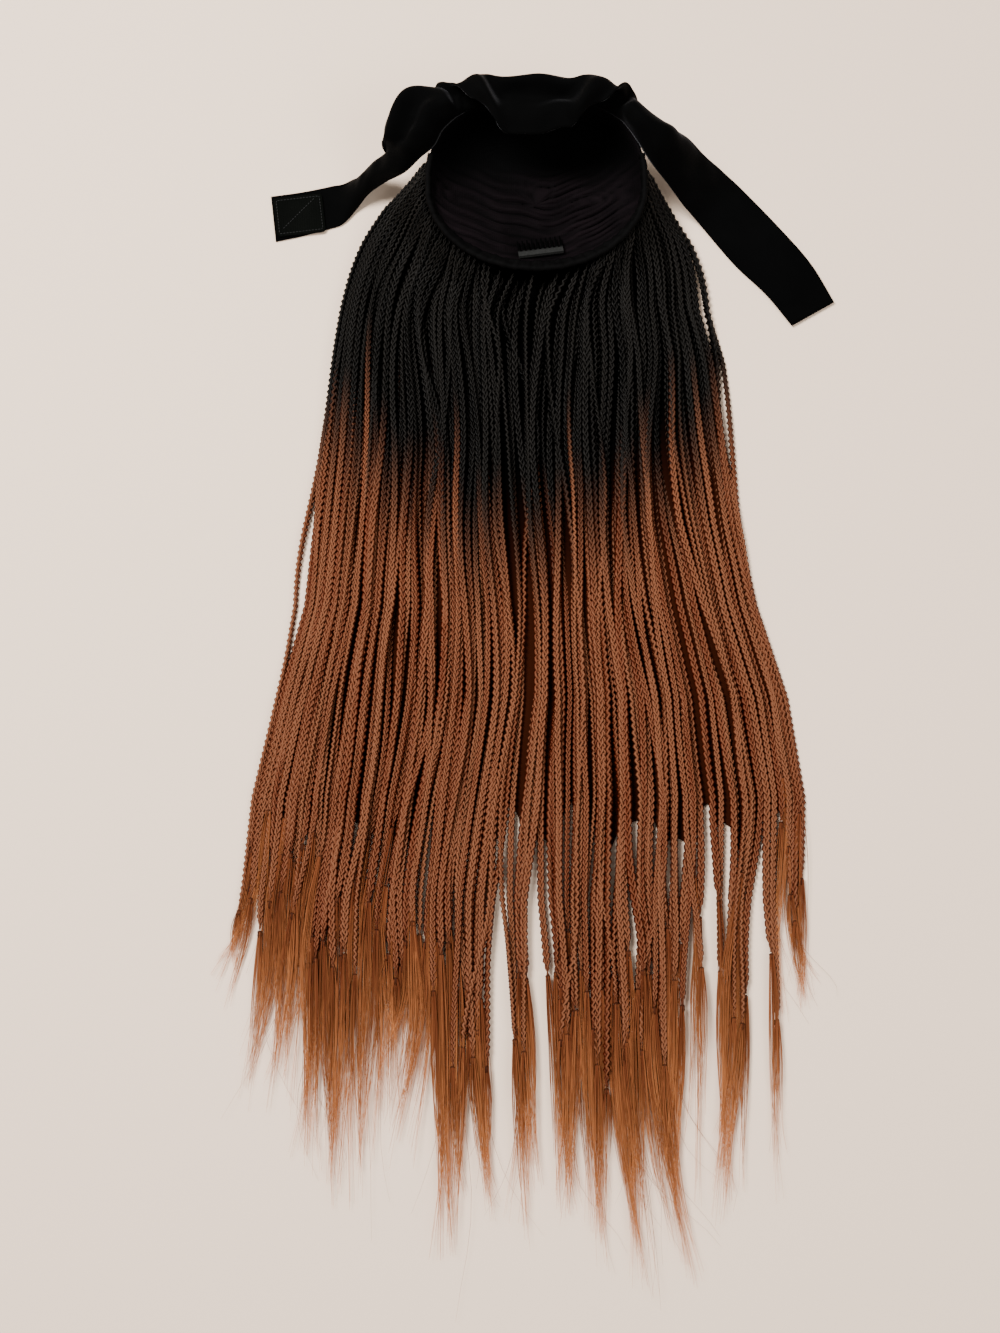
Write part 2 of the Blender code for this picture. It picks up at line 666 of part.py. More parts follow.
def centre_over_origin(parts, guides):
    """Move everything so that the middle of its outline stands over the origin, on the floor."""
    bpy.context.view_layer.update()
    graph = bpy.context.evaluated_depsgraph_get()
    corners = []
    for part in parts:
        shown = part.evaluated_get(graph)
        mesh = shown.to_mesh()
        corners.extend(shown.matrix_world @ vertex.co for vertex in mesh.vertices)
        shown.to_mesh_clear()
    places = np.array(corners)
    low = places.min(axis=0)
    high = places.max(axis=0)
    for thing in parts + guides:
        thing.location.x -= (low[0] + high[0]) / 2
        thing.location.y -= (low[1] + high[1]) / 2
        thing.location.z -= low[2]


def main():
    for old in list(bpy.data.objects):
        bpy.data.objects.remove(old, do_unlink=True)
    wig = bpy.data.collections.new("braid_wig")
    guides = bpy.data.collections.new("cutters")
    bpy.context.scene.collection.children.link(wig)
    bpy.context.scene.collection.children.link(guides)
    cap_space = make_cap_space(guides)
    patch_cloth = make_material("patch_cloth", (0.03, 0.032, 0.03), 0.95)
    parts = [
        make_cap(wig),
        make_edge_binding(wig),
        make_headband(wig),
        make_patch("hook_patch", LEFT_TAIL[-1], -1, LEFT_REACH, LEFT_SWING,
                   BAND_THICKNESS + GAP, patch_cloth, wig),
        make_patch("loop_patch", RIGHT_TAIL[-1], 1, RIGHT_REACH, RIGHT_SWING, 0.0, patch_cloth, wig),
        make_comb(wig),
        make_braids(cap_space, wig),
    ]
    centre_over_origin(parts, [cap_space])


main()
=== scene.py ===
import math
from collections import namedtuple

import bpy
import numpy as np
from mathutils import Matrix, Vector
from mathutils.bvhtree import BVHTree


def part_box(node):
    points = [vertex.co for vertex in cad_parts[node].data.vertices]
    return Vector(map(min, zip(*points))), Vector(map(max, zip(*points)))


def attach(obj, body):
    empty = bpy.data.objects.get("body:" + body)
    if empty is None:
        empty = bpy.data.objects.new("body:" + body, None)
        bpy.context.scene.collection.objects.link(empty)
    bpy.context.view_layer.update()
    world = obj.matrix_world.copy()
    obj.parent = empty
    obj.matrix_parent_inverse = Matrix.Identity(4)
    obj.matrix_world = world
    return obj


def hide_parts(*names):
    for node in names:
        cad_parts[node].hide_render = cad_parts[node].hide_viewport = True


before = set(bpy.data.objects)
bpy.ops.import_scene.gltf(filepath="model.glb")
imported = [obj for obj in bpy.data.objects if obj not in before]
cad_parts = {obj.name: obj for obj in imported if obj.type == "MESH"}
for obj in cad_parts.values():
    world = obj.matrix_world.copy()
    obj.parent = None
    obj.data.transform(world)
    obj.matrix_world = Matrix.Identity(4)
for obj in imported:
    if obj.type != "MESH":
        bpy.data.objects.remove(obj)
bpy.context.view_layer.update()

# Camera: a standing view of the wig on the floor, steeply down on it and square to its middle.
CAMERA_PLACE = (-0.0265, -0.2140, 1.2310)
CAMERA_TURN = math.radians(10)
CAMERA_LENS = 62.5

bpy.ops.object.camera_add(location=CAMERA_PLACE, rotation=(CAMERA_TURN, 0.0, 0.0))
camera = bpy.context.object
camera.data.sensor_fit = "HORIZONTAL"
camera.data.sensor_width = 36.0
camera.data.lens = CAMERA_LENS
bpy.context.scene.camera = camera

# Floor: a plain pale floor, painted matt, so that only the wig has colour.
FLOOR_SIZE = 6.0
FLOOR_COLOUR = "#fbdfc6"


def colour(code):
    """An sRGB hex colour as the linear values that the shaders use."""
    shares = [int(code[start:start + 2], 16) / 255 for start in (1, 3, 5)]
    linear = [share / 12.92 if share <= 0.04045 else ((share + 0.055) / 1.055) ** 2.4 for share in shares]
    return (*linear, 1.0)


def new_material(name, shade, roughness, specular=0.5):
    """A named finish that starts from one colour, roughness and strength of reflection."""
    material = bpy.data.materials.new(name)
    material.use_nodes = True
    shader = material.node_tree.nodes["Principled BSDF"]
    shader.inputs["Base Color"].default_value = colour(shade)
    shader.inputs["Roughness"].default_value = roughness
    shader.inputs["Specular IOR Level"].default_value = specular
    return material


def add_node(material, kind, settings, links):
    """Add a node, set its sockets or options, and link its sockets from the given outputs."""
    node = material.node_tree.nodes.new(kind)
    for name, value in settings.items():
        if isinstance(name, int) or name in node.inputs:
            node.inputs[name].default_value = value
        else:
            setattr(node, name, value)
    for name, source in links.items():
        material.node_tree.links.new(source, node.inputs[name])
    return node


bpy.ops.object.select_all(action="DESELECT")
bpy.ops.mesh.primitive_plane_add(size=FLOOR_SIZE, location=(0.0, 0.0, -0.0003))
floor = bpy.context.object
floor.name = "pale_floor"
floor.data.materials.append(new_material("matt_floor_paint", FLOOR_COLOUR, 0.92))

# Light: one big soft source over the wig's left shoulder, a weaker one on the right, and a pale room.
KEY_PLACE = (-0.9, 0.7, 1.9)
KEY_POWER = 95.0
FILL_PLACE = (1.2, -0.5, 1.7)
FILL_POWER = 22.0
ROOM_COLOUR = "#f4f1ec"
ROOM_STRENGTH = 0.50

for place, power, size in ((KEY_PLACE, KEY_POWER, 0.8), (FILL_PLACE, FILL_POWER, 1.2)):
    bpy.ops.object.light_add(type="AREA", location=place)
    lamp = bpy.context.object
    lamp.data.energy = power
    lamp.data.size = size
    lamp.rotation_euler = (Vector((0.0, 0.0, 0.0)) - Vector(place)).to_track_quat("-Z", "Y").to_euler()
room = bpy.data.worlds.new("pale_room")
room.use_nodes = True
room.node_tree.nodes["Background"].inputs["Color"].default_value = colour(ROOM_COLOUR)
room.node_tree.nodes["Background"].inputs["Strength"].default_value = ROOM_STRENGTH
bpy.context.scene.world = room

# Cap: a bowl of warp-knitted stretch net, cut in panels and gathered towards the nape by its elastic, so its
# inside is drawn into fine curved folds. Places are round the middle of its opening, as in the part's source.
CAP_MIDDLE = np.array((-0.00007, 0.34805, 0.0))
CAP_WIDTH = 0.158
CAP_FRONT_LENGTH = 0.061
CAP_NAPE_LENGTH = 0.056
RIM_HEIGHT = 0.048
RIM_TILT = 0.014
CAP_UNDERSIDE = 0.016
CAP_WALL = 0.0012
FRONT_SQUARENESS = 2.8
CAP_SWELL = 0.05
GATHER_HEIGHT = 0.0052
GATHER_PITCH = 0.0088
GATHER_SAG = 4.2
COMB_ROOM = (0.022, -0.024)        # half width and front end of the smooth place round the comb
NET_PITCH = 0.0016                 # real net has 0.8 mm meshes, drawn twice as coarse so that they show


def smoothstep(low, high, value):
    share = np.clip((value - low) / (high - low), 0.0, 1.0)
    return share * share * (3.0 - 2.0 * share)


def rim_height(turn):
    return RIM_HEIGHT + RIM_TILT * math.sin(turn)


def rim_plan(turn):
    """Outline of the opening, seen from above."""
    across = math.cos(turn)
    along = math.sin(turn)
    power = 2.0 / FRONT_SQUARENESS if along > 0 else 1.0
    length = CAP_FRONT_LENGTH if along > 0 else CAP_NAPE_LENGTH
    return np.array((
        math.copysign(abs(across) ** power, across) * CAP_WIDTH / 2,
        math.copysign(abs(along) ** power, along) * length))


def rim_outwards(turn):
    step = math.radians(1.0)
    ahead = rim_plan(turn + step) - rim_plan(turn - step)
    outwards = np.array((ahead[1], -ahead[0]))
    return outwards / np.linalg.norm(outwards)


def folds_at(x, y):
    """Share of a fold's height: arcs across the nape half that split and run out."""
    bend = y - GATHER_SAG * x * x + 0.0022 * math.sin(x * 60 + 1.0) + 0.0012 * math.sin(x * 170)
    broad = abs(math.sin(math.pi * bend / GATHER_PITCH))
    fine = abs(math.sin(math.pi * (bend + 0.0016 * math.sin(x * 95)) / (GATHER_PITCH * 0.53)))
    patchy = 0.65 + 0.35 * math.sin(x * 48 + y * 31)
    nape_half = 1.0 - smoothstep(0.10, 0.60, y / CAP_FRONT_LENGTH)
    return (0.5 * broad + 0.5 * fine * patchy) * nape_half


def gather(x, y, depth):
    """Height of the net's fine folds, none at its edge or round the comb."""
    inside = smoothstep(0.14, 0.34, depth)
    off_comb = max(smoothstep(COMB_ROOM[0], COMB_ROOM[0] + 0.007, abs(x - 0.0035)),
                   smoothstep(COMB_ROOM[1], COMB_ROOM[1] + 0.007, y))
    return GATHER_HEIGHT * folds_at(x, y) * inside * off_comb


def cap_point(turn, depth):
    """Middle of the net: depth 0 at the edge of the opening, 1 at the lowest place."""
    angle = depth * math.pi / 2
    bag_reach = max(math.cos(angle), 0.0) ** 0.5 * (1 + CAP_SWELL * math.sin(2 * angle))
    nape = ((1.0 - math.sin(turn)) / 2) ** 2
    reach = (1 - nape) * bag_reach + nape * (1.0 - depth)
    drop = (1 - nape) * math.sin(angle) + nape * (1.0 - (1.0 - depth) ** 2)
    x, y = rim_plan(turn) * reach
    z = rim_height(turn) + (CAP_UNDERSIDE - rim_height(turn)) * drop + gather(x, y, depth)
    return np.array((x, y, z))


def lay_cloth(name, columns, rows, place):
    """A cloth cut flat as a grid, then laid: place gives a point for shares across and along it."""
    bpy.ops.object.select_all(action="DESELECT")
    bpy.ops.mesh.primitive_grid_add(x_subdivisions=columns, y_subdivisions=rows, size=1.0)
    cloth = bpy.context.object
    cloth.name = name
    cloth.data.name = name
    for vertex in cloth.data.vertices:
        vertex.co = Vector(place(vertex.co.x + 0.5, vertex.co.y + 0.5) + CAP_MIDDLE)
    return cloth


def pick(piece):
    """Make this the one piece that the next steps act on."""
    bpy.ops.object.select_all(action="DESELECT")
    piece.select_set(True)
    bpy.context.view_layer.objects.active = piece


def places_on(piece):
    """The points of a piece, from the middle of the cap."""
    return np.array([vertex.co for vertex in piece.data.vertices]) - CAP_MIDDLE


def close_seams(piece):
    """Join the edges that meet and turn the faces the right way."""
    pick(piece)
    bpy.ops.object.mode_set(mode="EDIT")
    bpy.ops.mesh.select_all(action="SELECT")
    bpy.ops.mesh.remove_doubles(threshold=0.00002)
    bpy.ops.mesh.normals_make_consistent(inside=False)
    bpy.ops.object.mode_set(mode="OBJECT")


def thicken(piece, thickness):
    """Give a cloth its wall, half to each side, and smooth it."""
    pick(piece)
    wall = piece.modifiers.new("Wall", "SOLIDIFY")
    wall.thickness = thickness
    wall.offset = 0.0
    bpy.ops.object.modifier_apply(modifier=wall.name)
    bpy.ops.object.shade_smooth()


def paint(piece, name, values):
    """Store one number for each point of a piece, for its material to read."""
    layer = piece.data.attributes.new(name, "FLOAT", "POINT")
    layer.data.foreach_set("value", np.asarray(values, float))


def object_place(material):
    """Places on the piece itself, so that a texture keeps its real size."""
    return add_node(material, "ShaderNodeTexCoord", {}, {}).outputs["Object"]


def noise(material, place, scale, detail, distortion=0.0):
    """Soft random blotches, from 0 to 1."""
    settings = {"Scale": scale, "Detail": detail, "Distortion": distortion}
    return add_node(material, "ShaderNodeTexNoise", settings, {"Vector": place}).outputs["Fac"]


def cells(material, place, pitch, randomness):
    """Small cells in rows, as the distance from each one's middle."""
    return add_node(material, "ShaderNodeTexVoronoi", {"Scale": 1 / pitch, "Randomness": randomness},
                    {"Vector": place}).outputs["Distance"]


def painted(material, name):
    """The numbers that were painted on the piece under this name."""
    return add_node(material, "ShaderNodeAttribute", {"attribute_name": name}, {}).outputs["Fac"]


def arithmetic(material, operation, first, second, third=0.0):
    """One sum on the outputs of other nodes or on plain numbers."""
    terms = dict(enumerate((first, second, third)))
    settings = {key: term for key, term in terms.items() if isinstance(term, float)}
    links = {key: term for key, term in terms.items() if key not in settings}
    return add_node(material, "ShaderNodeMath", {"operation": operation, **settings}, links).outputs["Value"]


def blend(material, share, dark, light):
    """A colour between two, each a hex colour or another node's output."""
    settings = {"data_type": "RGBA"}
    links = {0: share}
    for socket, shade in ((6, dark), (7, light)):
        if isinstance(shade, str):
            settings[socket] = colour(shade)
        else:
            links[socket] = shade
    return add_node(material, "ShaderNodeMix", settings, links).outputs[2]


def dress(material, shade, height=None, strength=0.0, distance=0.0, invert=False):
    """Give a finish its colour and, where it has one, its relief."""
    shader = material.node_tree.nodes["Principled BSDF"]
    material.node_tree.links.new(shade, shader.inputs["Base Color"])
    if height is not None:
        settings = {"Strength": strength, "Distance": distance, "invert": invert}
        bump = add_node(material, "ShaderNodeBump", settings, {"Height": height})
        material.node_tree.links.new(bump.outputs["Normal"], shader.inputs["Normal"])


def add_sheen(material, weight, roughness, shade):
    """The glow of a fine pile or open threads where they are seen along the surface."""
    shader = material.node_tree.nodes["Principled BSDF"]
    shader.inputs["Sheen Weight"].default_value = weight
    shader.inputs["Sheen Roughness"].default_value = roughness
    shader.inputs["Sheen Tint"].default_value = colour(shade)


cap = lay_cloth("net_cap", 150, 76, lambda across, along: cap_point(2 * math.pi * across, along))
close_seams(cap)
# The fold height is stored for the net's painted highlight and painted shade.
paint(cap, "fold", [folds_at(x, y) for x, y, _ in places_on(cap)])
thicken(cap, CAP_WALL)

# Nylon net is dull, lets no light back from its holes, and catches a faint mauve sheen on its folds. Its
# colour is
# painted too: mauve on the folds' ridges as painted highlight, near-black in the valleys and where there are
# no folds as painted shade.
net = new_material("warp_knitted_nylon_net", "#080607", 0.8, 0.03)
add_sheen(net, 0.015, 0.5, "#b9a5ae")
net_place = object_place(net)
# Painted highlight and shade: the fold height, broken up by noise, lightens the net from near-black to mauve.
fold_painted_light = arithmetic(net, "MULTIPLY", noise(net, net_place, 45.0, 4.0), painted(net, "fold"))
dress(net, blend(net, fold_painted_light, "#010101", "#171013"), cells(net, net_place, NET_PITCH, 0.25), 0.55, 0.0006)
cap.data.materials.append(net)
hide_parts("cap")
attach(cap, "root")
cap_faces = BVHTree.FromPolygons([vertex.co for vertex in cap.data.vertices],
                                 [polygon.vertices for polygon in cap.data.polygons])

# Bound edge: a folded twill tape sewn over the raw edge of the net from one side round the nape to the other,
# a little wavy between its stitches.
BINDING_LEG = 0.0062
BINDING_SIDE_LEG = 0.0036
BINDING_TURNS = (-196, 16)
BINDING_OFFSET = 0.0016
BINDING_THICKNESS = 0.0011
TWILL_PITCH = 0.0014


def cap_out_of(turn, depth, distance):
    """A point moved off the net, out of the cap if distance is positive."""
    step = 0.01
    round_cap = cap_point(turn + step, depth) - cap_point(turn - step, depth)
    down_cap = cap_point(turn, depth + step) - cap_point(turn, max(depth - step, 0.0))
    outwards = np.cross(down_cap, round_cap)
    place = cap_point(turn, depth)
    if outwards @ (place - np.array((0.0, 0.0, rim_height(turn) + 0.004))) < 0:
        outwards = -outwards
    return place + outwards / np.linalg.norm(outwards) * distance


def binding_point(across, along):
    """Across the tape from its outer hem over the edge to its inner hem."""
    first, last = (math.radians(turn) for turn in BINDING_TURNS)
    turn = first + (last - first) * along
    nape = smoothstep(0.0, 0.9, -math.sin(turn))
    leg = BINDING_SIDE_LEG + (BINDING_LEG - BINDING_SIDE_LEG) * nape
    slant = (cap_point(turn, 0.0) - cap_point(turn, 0.1)) / 0.1
    length = np.linalg.norm(slant)
    fold = math.pi * BINDING_OFFSET
    total = 2 * leg + fold
    run = across * total
    ripple = (0.00035 * math.sin(along * 215) + 0.00030 * math.sin(along * 97 + 9 * across)
              + 0.00025 * math.sin(along * 391 + 2)) * (0.4 + 0.6 * abs(2 * across - 1))
    offset = BINDING_OFFSET + ripple
    if run < leg:
        return cap_out_of(turn, (leg - run) / length, offset)
    if run > leg + fold:
        return cap_out_of(turn, (run - leg - fold) / length, -offset)
    angle = (run - leg) / fold * math.pi
    return cap_out_of(turn, 0.0, offset * math.cos(angle)) + slant / length * offset * math.sin(angle)


binding = lay_cloth("edge_tape", 14, 260, binding_point)
close_seams(binding)
thicken(binding, BINDING_THICKNESS)

# Polyester twill is matt with fine slanting ribs.
twill = new_material("polyester_twill_tape", "#080808", 0.75, 0.03)
twill_place = object_place(twill)
twill_ribs = add_node(twill, "ShaderNodeTexWave",
                      {"Scale": 1 / TWILL_PITCH / 20, "Distortion": 1.5, "bands_direction": "DIAGONAL"},
                      {"Vector": twill_place})
dress(twill, blend(twill, noise(twill, twill_place, 160.0, 3.0), "#020202", "#090808"),
      twill_ribs.outputs["Fac"], 0.5, 0.0005)
binding.data.materials.append(twill)
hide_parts("edge_binding")
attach(binding, "root")

# Comb: a small comb moulded in ABS, its spine sewn inside the nape with its teeth towards the crown. The
# solid's shape is right, so it only gets its finish: a grey satin spine, and teeth painted near-black as
# painted shade, where the net that they are pushed through shades them.
COMB_YAW = math.radians(7.5)
COMB_SPINE_DEPTH = 0.0046

comb_low = np.array(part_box("comb")[0])
comb_front = comb_low[1] + COMB_SPINE_DEPTH - math.tan(COMB_YAW) * comb_low[0]
comb_plastic = new_material("moulded_satin_abs", "#1c1c1c", 0.5, 0.05)
comb_place = object_place(comb_plastic)
comb_haze = noise(comb_plastic, comb_place, 500.0, 4.0)
comb_axes = add_node(comb_plastic, "ShaderNodeSeparateXYZ", {}, {0: comb_place})
comb_level = arithmetic(comb_plastic, "MULTIPLY_ADD", comb_axes.outputs["X"], -math.tan(COMB_YAW),
                        comb_axes.outputs["Y"])
# Painted shade: from just past the spine on, the teeth are coloured near-black for the net's shade over them.
teeth_painted_shade = add_node(comb_plastic, "ShaderNodeMapRange", {1: comb_front - 0.0005, 2: comb_front + 0.0015},
                      {0: comb_level})
comb_spine = blend(comb_plastic, comb_haze, "#191918", "#2b2b2a")
dress(comb_plastic, blend(comb_plastic, teeth_painted_shade.outputs["Result"], comb_spine, "#010101"),
      comb_haze, 0.15, 0.0002)
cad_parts["comb"].material_slots[0].material = comb_plastic

# Headband: a wide strip of black stretch velvet, sewn by its long edge to the front of the cap, flopped over
# into the opening at the front, and running out into two tails that lie on the floor.
BAND_WIDTH = 0.072
BAND_THICKNESS = 0.0014
PANELS = (0.20, 0.16, 0.20, 0.22, 0.22)
SEAM_LIFT = 0.0014
BAND_GAP = 0.0012                  # right tail above the loop patch under it
NAP_GRAIN = 0.0007

Fold = namedtuple("Fold", "turn width rise shoulder dip swell lip")
FOLDS = (
    Fold(158, 0.86, 72, 40, -45, 25, -70),
    Fold(145, 0.88, 68, 44, -38, 18, -75),
    Fold(133, 0.62, 68, 48, -5, -45, -80),
    Fold(127, 0.34, 55, 26, 0, 20, 60),
    Fold(121, 0.48, 38, 34, 62, 126, 180),
    Fold(112, 0.74, 28, 48, 116, 168, 212),
    Fold(101, 0.92, 28, 104, 218, 160, 205),
    Fold(90, 1.00, 30, 112, 225, 158, 202),
    Fold(80, 0.92, 24, 112, 226, 138, 203),
    Fold(68, 0.76, 30, 52, 118, 170, 212),
    Fold(57, 0.46, 40, 34, 64, 128, 180),
    Fold(50, 0.34, 52, 20, -10, -15, 0),
    Fold(42, 0.66, 78, 46, -42, -78, -86),
    Fold(28, 0.70, 78, 45, -25, -60, -72),
)
Lay = namedtuple("Lay", "reach swing lift facing width rise shoulder dip swell lip")
LEFT_REACH = 0.116
LEFT_SWING = 0.049
LEFT_TAIL = (
    Lay(0.05, 0.10, 1.03, 160, 0.68, 72, 42, -40, 8, -84),
    Lay(0.15, 0.23, 0.82, 132, 0.60, 76, 46, -25, -62, -84),
    Lay(0.28, 0.25, 0.52, 106, 0.50, 76, 50, -10, -64, -82),
    Lay(0.39, 0.31, 0.25, 94, 0.48, 74, 50, 0, -54, -76),
    Lay(0.475, 0.475, 0.05, 90, 0.47, 60, 34, 0, -34, -60),
    Lay(0.565, 0.71, 0.0, 90, 0.46, 24, 10, 0, -10, -24),
    Lay(0.65, 0.79, 0.0, 91, 0.465, 0, 0, 0, 0, 0),
    Lay(0.82, 0.905, 0.0, 94, 0.48, 0, 0, 0, 0, 0),
    Lay(1.0, 1.0, 0.0, 97, 0.50, 0, 0, 0, 0, 0),
)
RIGHT_REACH = 0.112
RIGHT_SWING = 0.116
RIGHT_TAIL = (
    Lay(0.04, 0.07, 1.03, 44, 0.62, 60, 30, 0, -40, -62),
    Lay(0.17, 0.16, 0.68, 52, 0.56, 40, 20, 0, -20, -36),
    Lay(0.285, 0.235, 0.32, 50, 0.57, 22, 12, 0, -12, -20),
    Lay(0.41, 0.325, 0.04, 46, 0.60, 9, 4, 0, -4, -9),
    Lay(0.63, 0.585, 0.0, 40, 0.63, 5, 2, 0, -2, -5),
    Lay(0.83, 0.785, 0.0, 34, 0.58, 0, 0, 0, 0, 0),
    Lay(1.0, 1.0, 0.0, 30, 0.51, 0, 0, 0, 0, 0),
)


def through(rows, steps):
    """Smooth curve through rows of numbers, with a few steps between each two."""
    rows = np.asarray(rows, float)
    padded = np.vstack((2 * rows[0] - rows[1], rows, 2 * rows[-1] - rows[-2]))
    result = []
    for index in range(len(rows) - 1):
        before, start, end, after = padded[index:index + 4]
        for step in range(steps):
            t = step / steps
            result.append(0.5 * (2 * start + (end - before) * t
                                 + (2 * before - 5 * start + 4 * end - after) * t ** 2
                                 + (3 * start - before - 3 * end + after) * t ** 3))
    result.append(rows[-1])
    return np.array(result)


def tail_stations(rows, side, reach, swing, end_lift):
    stations = []
    for row in rows:
        x = side * (CAP_WIDTH / 2 + row.reach * reach)
        y = rim_plan(math.radians(20))[1] - row.swing * swing
        z = 0.0008 + row.lift * RIM_HEIGHT + end_lift * smoothstep(0.6, 0.8, row.reach)
        stations.append((x, y, z, row.facing, row.width * BAND_WIDTH, *row[5:]))
    return stations


def band_stations():
    """Sections of the headband from the left tail's end to the right tail's."""
    stations = tail_stations(LEFT_TAIL, -1, LEFT_REACH, LEFT_SWING, 0.0)[::-1]
    for fold in FOLDS:
        turn = math.radians(fold.turn)
        outwards = rim_outwards(turn)
        facing = math.degrees(math.atan2(outwards[1], outwards[0]))
        seam = (*rim_plan(turn), rim_height(turn) + SEAM_LIFT)
        stations.append((*seam, facing, fold.width * BAND_WIDTH, *fold[2:]))
    return stations + tail_stations(RIGHT_TAIL, 1, RIGHT_REACH, RIGHT_SWING, BAND_GAP)


def at_stops(reach, points, stops):
    """Points of a line at the given ways along it."""
    return np.column_stack([np.interp(stops, reach, points[:, axis]) for axis in range(3)])


def ways_along(points):
    """How far along a line each of its points is."""
    return np.concatenate(((0.0,), np.cumsum(np.linalg.norm(np.diff(points, axis=0), axis=1))))


def band_section(station, stops):
    """One section of the headband as points at shares of its width, seam to free edge."""
    x, y, z, facing, width = station[:5]
    out = np.array((math.cos(math.radians(facing)), math.sin(math.radians(facing))))
    rails = [np.array((x, y, z))]
    for share, slope in zip(PANELS, station[5:]):
        length = share * width
        flat = length * math.cos(math.radians(slope))
        rise = length * math.sin(math.radians(slope))
        rails.append(rails[-1] + np.array((out[0] * flat, out[1] * flat, rise)))
    fine = through(rails, 8)
    along = ways_along(fine)
    return at_stops(along, fine, stops * along[-1])


BAND_COLUMNS = 34
BAND_SMOOTH = 10
band_lines = through(band_stations(), BAND_SMOOTH)
band_stops = np.linspace(0.0, 1.0, BAND_COLUMNS + 1)
band_grid = np.array([band_section(station, band_stops) for station in band_lines])


def band_point(across, along):
    """The laid velvet, with small wrinkles where it is bunched, and never under the floor."""
    row = round(along * (len(band_lines) - 1))
    column = round(across * BAND_COLUMNS)
    point = band_grid[row][column].copy()
    bunched = smoothstep(0.004, 0.02, point[2])
    pull = math.sin(row * 0.55 + 0.9 * math.sin(column * 0.21)) * math.sin(column * 0.16 + row * 0.03)
    point[2] += 0.0009 * bunched * pull * smoothstep(0.0, 0.2, across)
    point[1] += 0.0006 * bunched * math.sin(row * 0.34 + column * 0.3) * smoothstep(0.0, 0.2, across)
    point[2] -= SEAM_LIFT * bunched * (1 - smoothstep(0.0, 0.06, across))
    point[2] = max(point[2], BAND_THICKNESS / 2 + 0.0001)
    return point


headband = lay_cloth("velvet_headband", BAND_COLUMNS, len(band_lines) - 1, band_point)
thicken(headband, BAND_THICKNESS)

# Stretch velvet: a short nylon pile that swallows light face on and glows softly along its folds.
velvet = new_material("black_stretch_velvet", "#030303", 0.9, 0.02)
add_sheen(velvet, 0.26, 0.30, "#8d8c90")
velvet_place = object_place(velvet)
velvet_crush = noise(velvet, velvet_place, 22.0, 5.0, 0.6)
dress(velvet, blend(velvet, velvet_crush, "#010101", "#060606"),
      noise(velvet, velvet_place, 1 / NAP_GRAIN, 2.0), 0.35, 0.0004)
headband.data.materials.append(velvet)
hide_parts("headband")
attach(headband, "root")

# Fastening patches: hook tape boxed on to the left tail with a stitched border and one slanting line, and its
# plain loop side under the end of the right tail. Both are woven nylon.
PATCH_LENGTH = 0.037
PATCH_WIDTH = 0.031
PATCH_THICKNESS = 0.0009
PATCH_CORNER = 0.003
HOOK_PITCH = 0.0013
STITCH_LENGTH = 0.0024
STITCH_RADIUS = 0.00022
STITCH_FORM = ((0.0, 0.4, -0.8), (0.15, 0.9, 0.2), (0.5, 1.0, 0.5), (0.85, 0.9, 0.2), (1.0, 0.4, -0.8))
STITCH_SIDES = 5

patch_low, patch_high = (np.array(corner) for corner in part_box("hook_patch"))
patch_middle = (patch_low + patch_high) / 2
patch_across = math.radians(LEFT_TAIL[-1].facing)


def on_patch(x, y, z):
    """A place on the patch, from its own middle and along its own sides."""
    turn = patch_across - math.pi / 2
    return np.array((
        patch_middle[0] + x * math.cos(turn) - y * math.sin(turn),
        patch_middle[1] + x * math.sin(turn) + y * math.cos(turn),
        patch_low[2] + z))


def patch_place(across, along):
    x = (across - 0.5) * PATCH_LENGTH
    y = (along - 0.5) * PATCH_WIDTH
    cut_x = abs(x) - (PATCH_LENGTH / 2 - PATCH_CORNER)
    cut_y = abs(y) - (PATCH_WIDTH / 2 - PATCH_CORNER)
    if cut_x > 0 and cut_y > 0:
        reach = math.hypot(cut_x, cut_y)
        scale = max(cut_x, cut_y) / reach
        x = math.copysign(PATCH_LENGTH / 2 - PATCH_CORNER + cut_x * scale, x)
        y = math.copysign(PATCH_WIDTH / 2 - PATCH_CORNER + cut_y * scale, y)
    hem = max(abs(2 * across - 1), abs(2 * along - 1))
    lift = 0.0003 * smoothstep(1.0, 0.86, hem) + 0.00015 * math.sin(across * 9) * math.sin(along * 7)
    return on_patch(x, y, PATCH_THICKNESS / 2 + lift) - CAP_MIDDLE


hook_patch = lay_cloth("hook_tape", 40, 34, patch_place)
thicken(hook_patch, PATCH_THICKNESS)
hooks = new_material("woven_nylon_hook_tape", "#080908", 0.7, 0.02)
hooks_place = object_place(hooks)
dress(hooks, blend(hooks, noise(hooks, hooks_place, 60.0, 4.0), "#020302", "#080907"),
      cells(hooks, hooks_place, HOOK_PITCH, 0.35), 0.8, 0.0006, True)
hook_patch.data.materials.append(hooks)
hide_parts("hook_patch")
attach(hook_patch, "root")
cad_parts["loop_patch"].material_slots[0].material = hooks


def mesh_from_rings(name, rings, material):
    """A piece of many round threads: each is a list of rings of points, closed at both ends."""
    points = []
    faces = []
    for thread in rings:
        count = len(thread[0])
        start = len(points)
        for ring in thread:
            points.extend(ring)
        for row in range(len(thread) - 1):
            for side in range(count):
                here = start + row * count
                beside = (side + 1) % count
                faces.append((here + side, here + beside, here + count + beside, here + count + side))
        faces.append(tuple(range(start + count - 1, start - 1, -1)))
        last = start + (len(thread) - 1) * count
        faces.append(tuple(range(last, last + count)))
    mesh = bpy.data.meshes.new(name)
    mesh.from_pydata([tuple(point) for point in points], [], faces)
    mesh.shade_smooth()
    piece = bpy.data.objects.new(name, mesh)
    bpy.context.scene.collection.objects.link(piece)
    mesh.materials.append(material)
    return piece


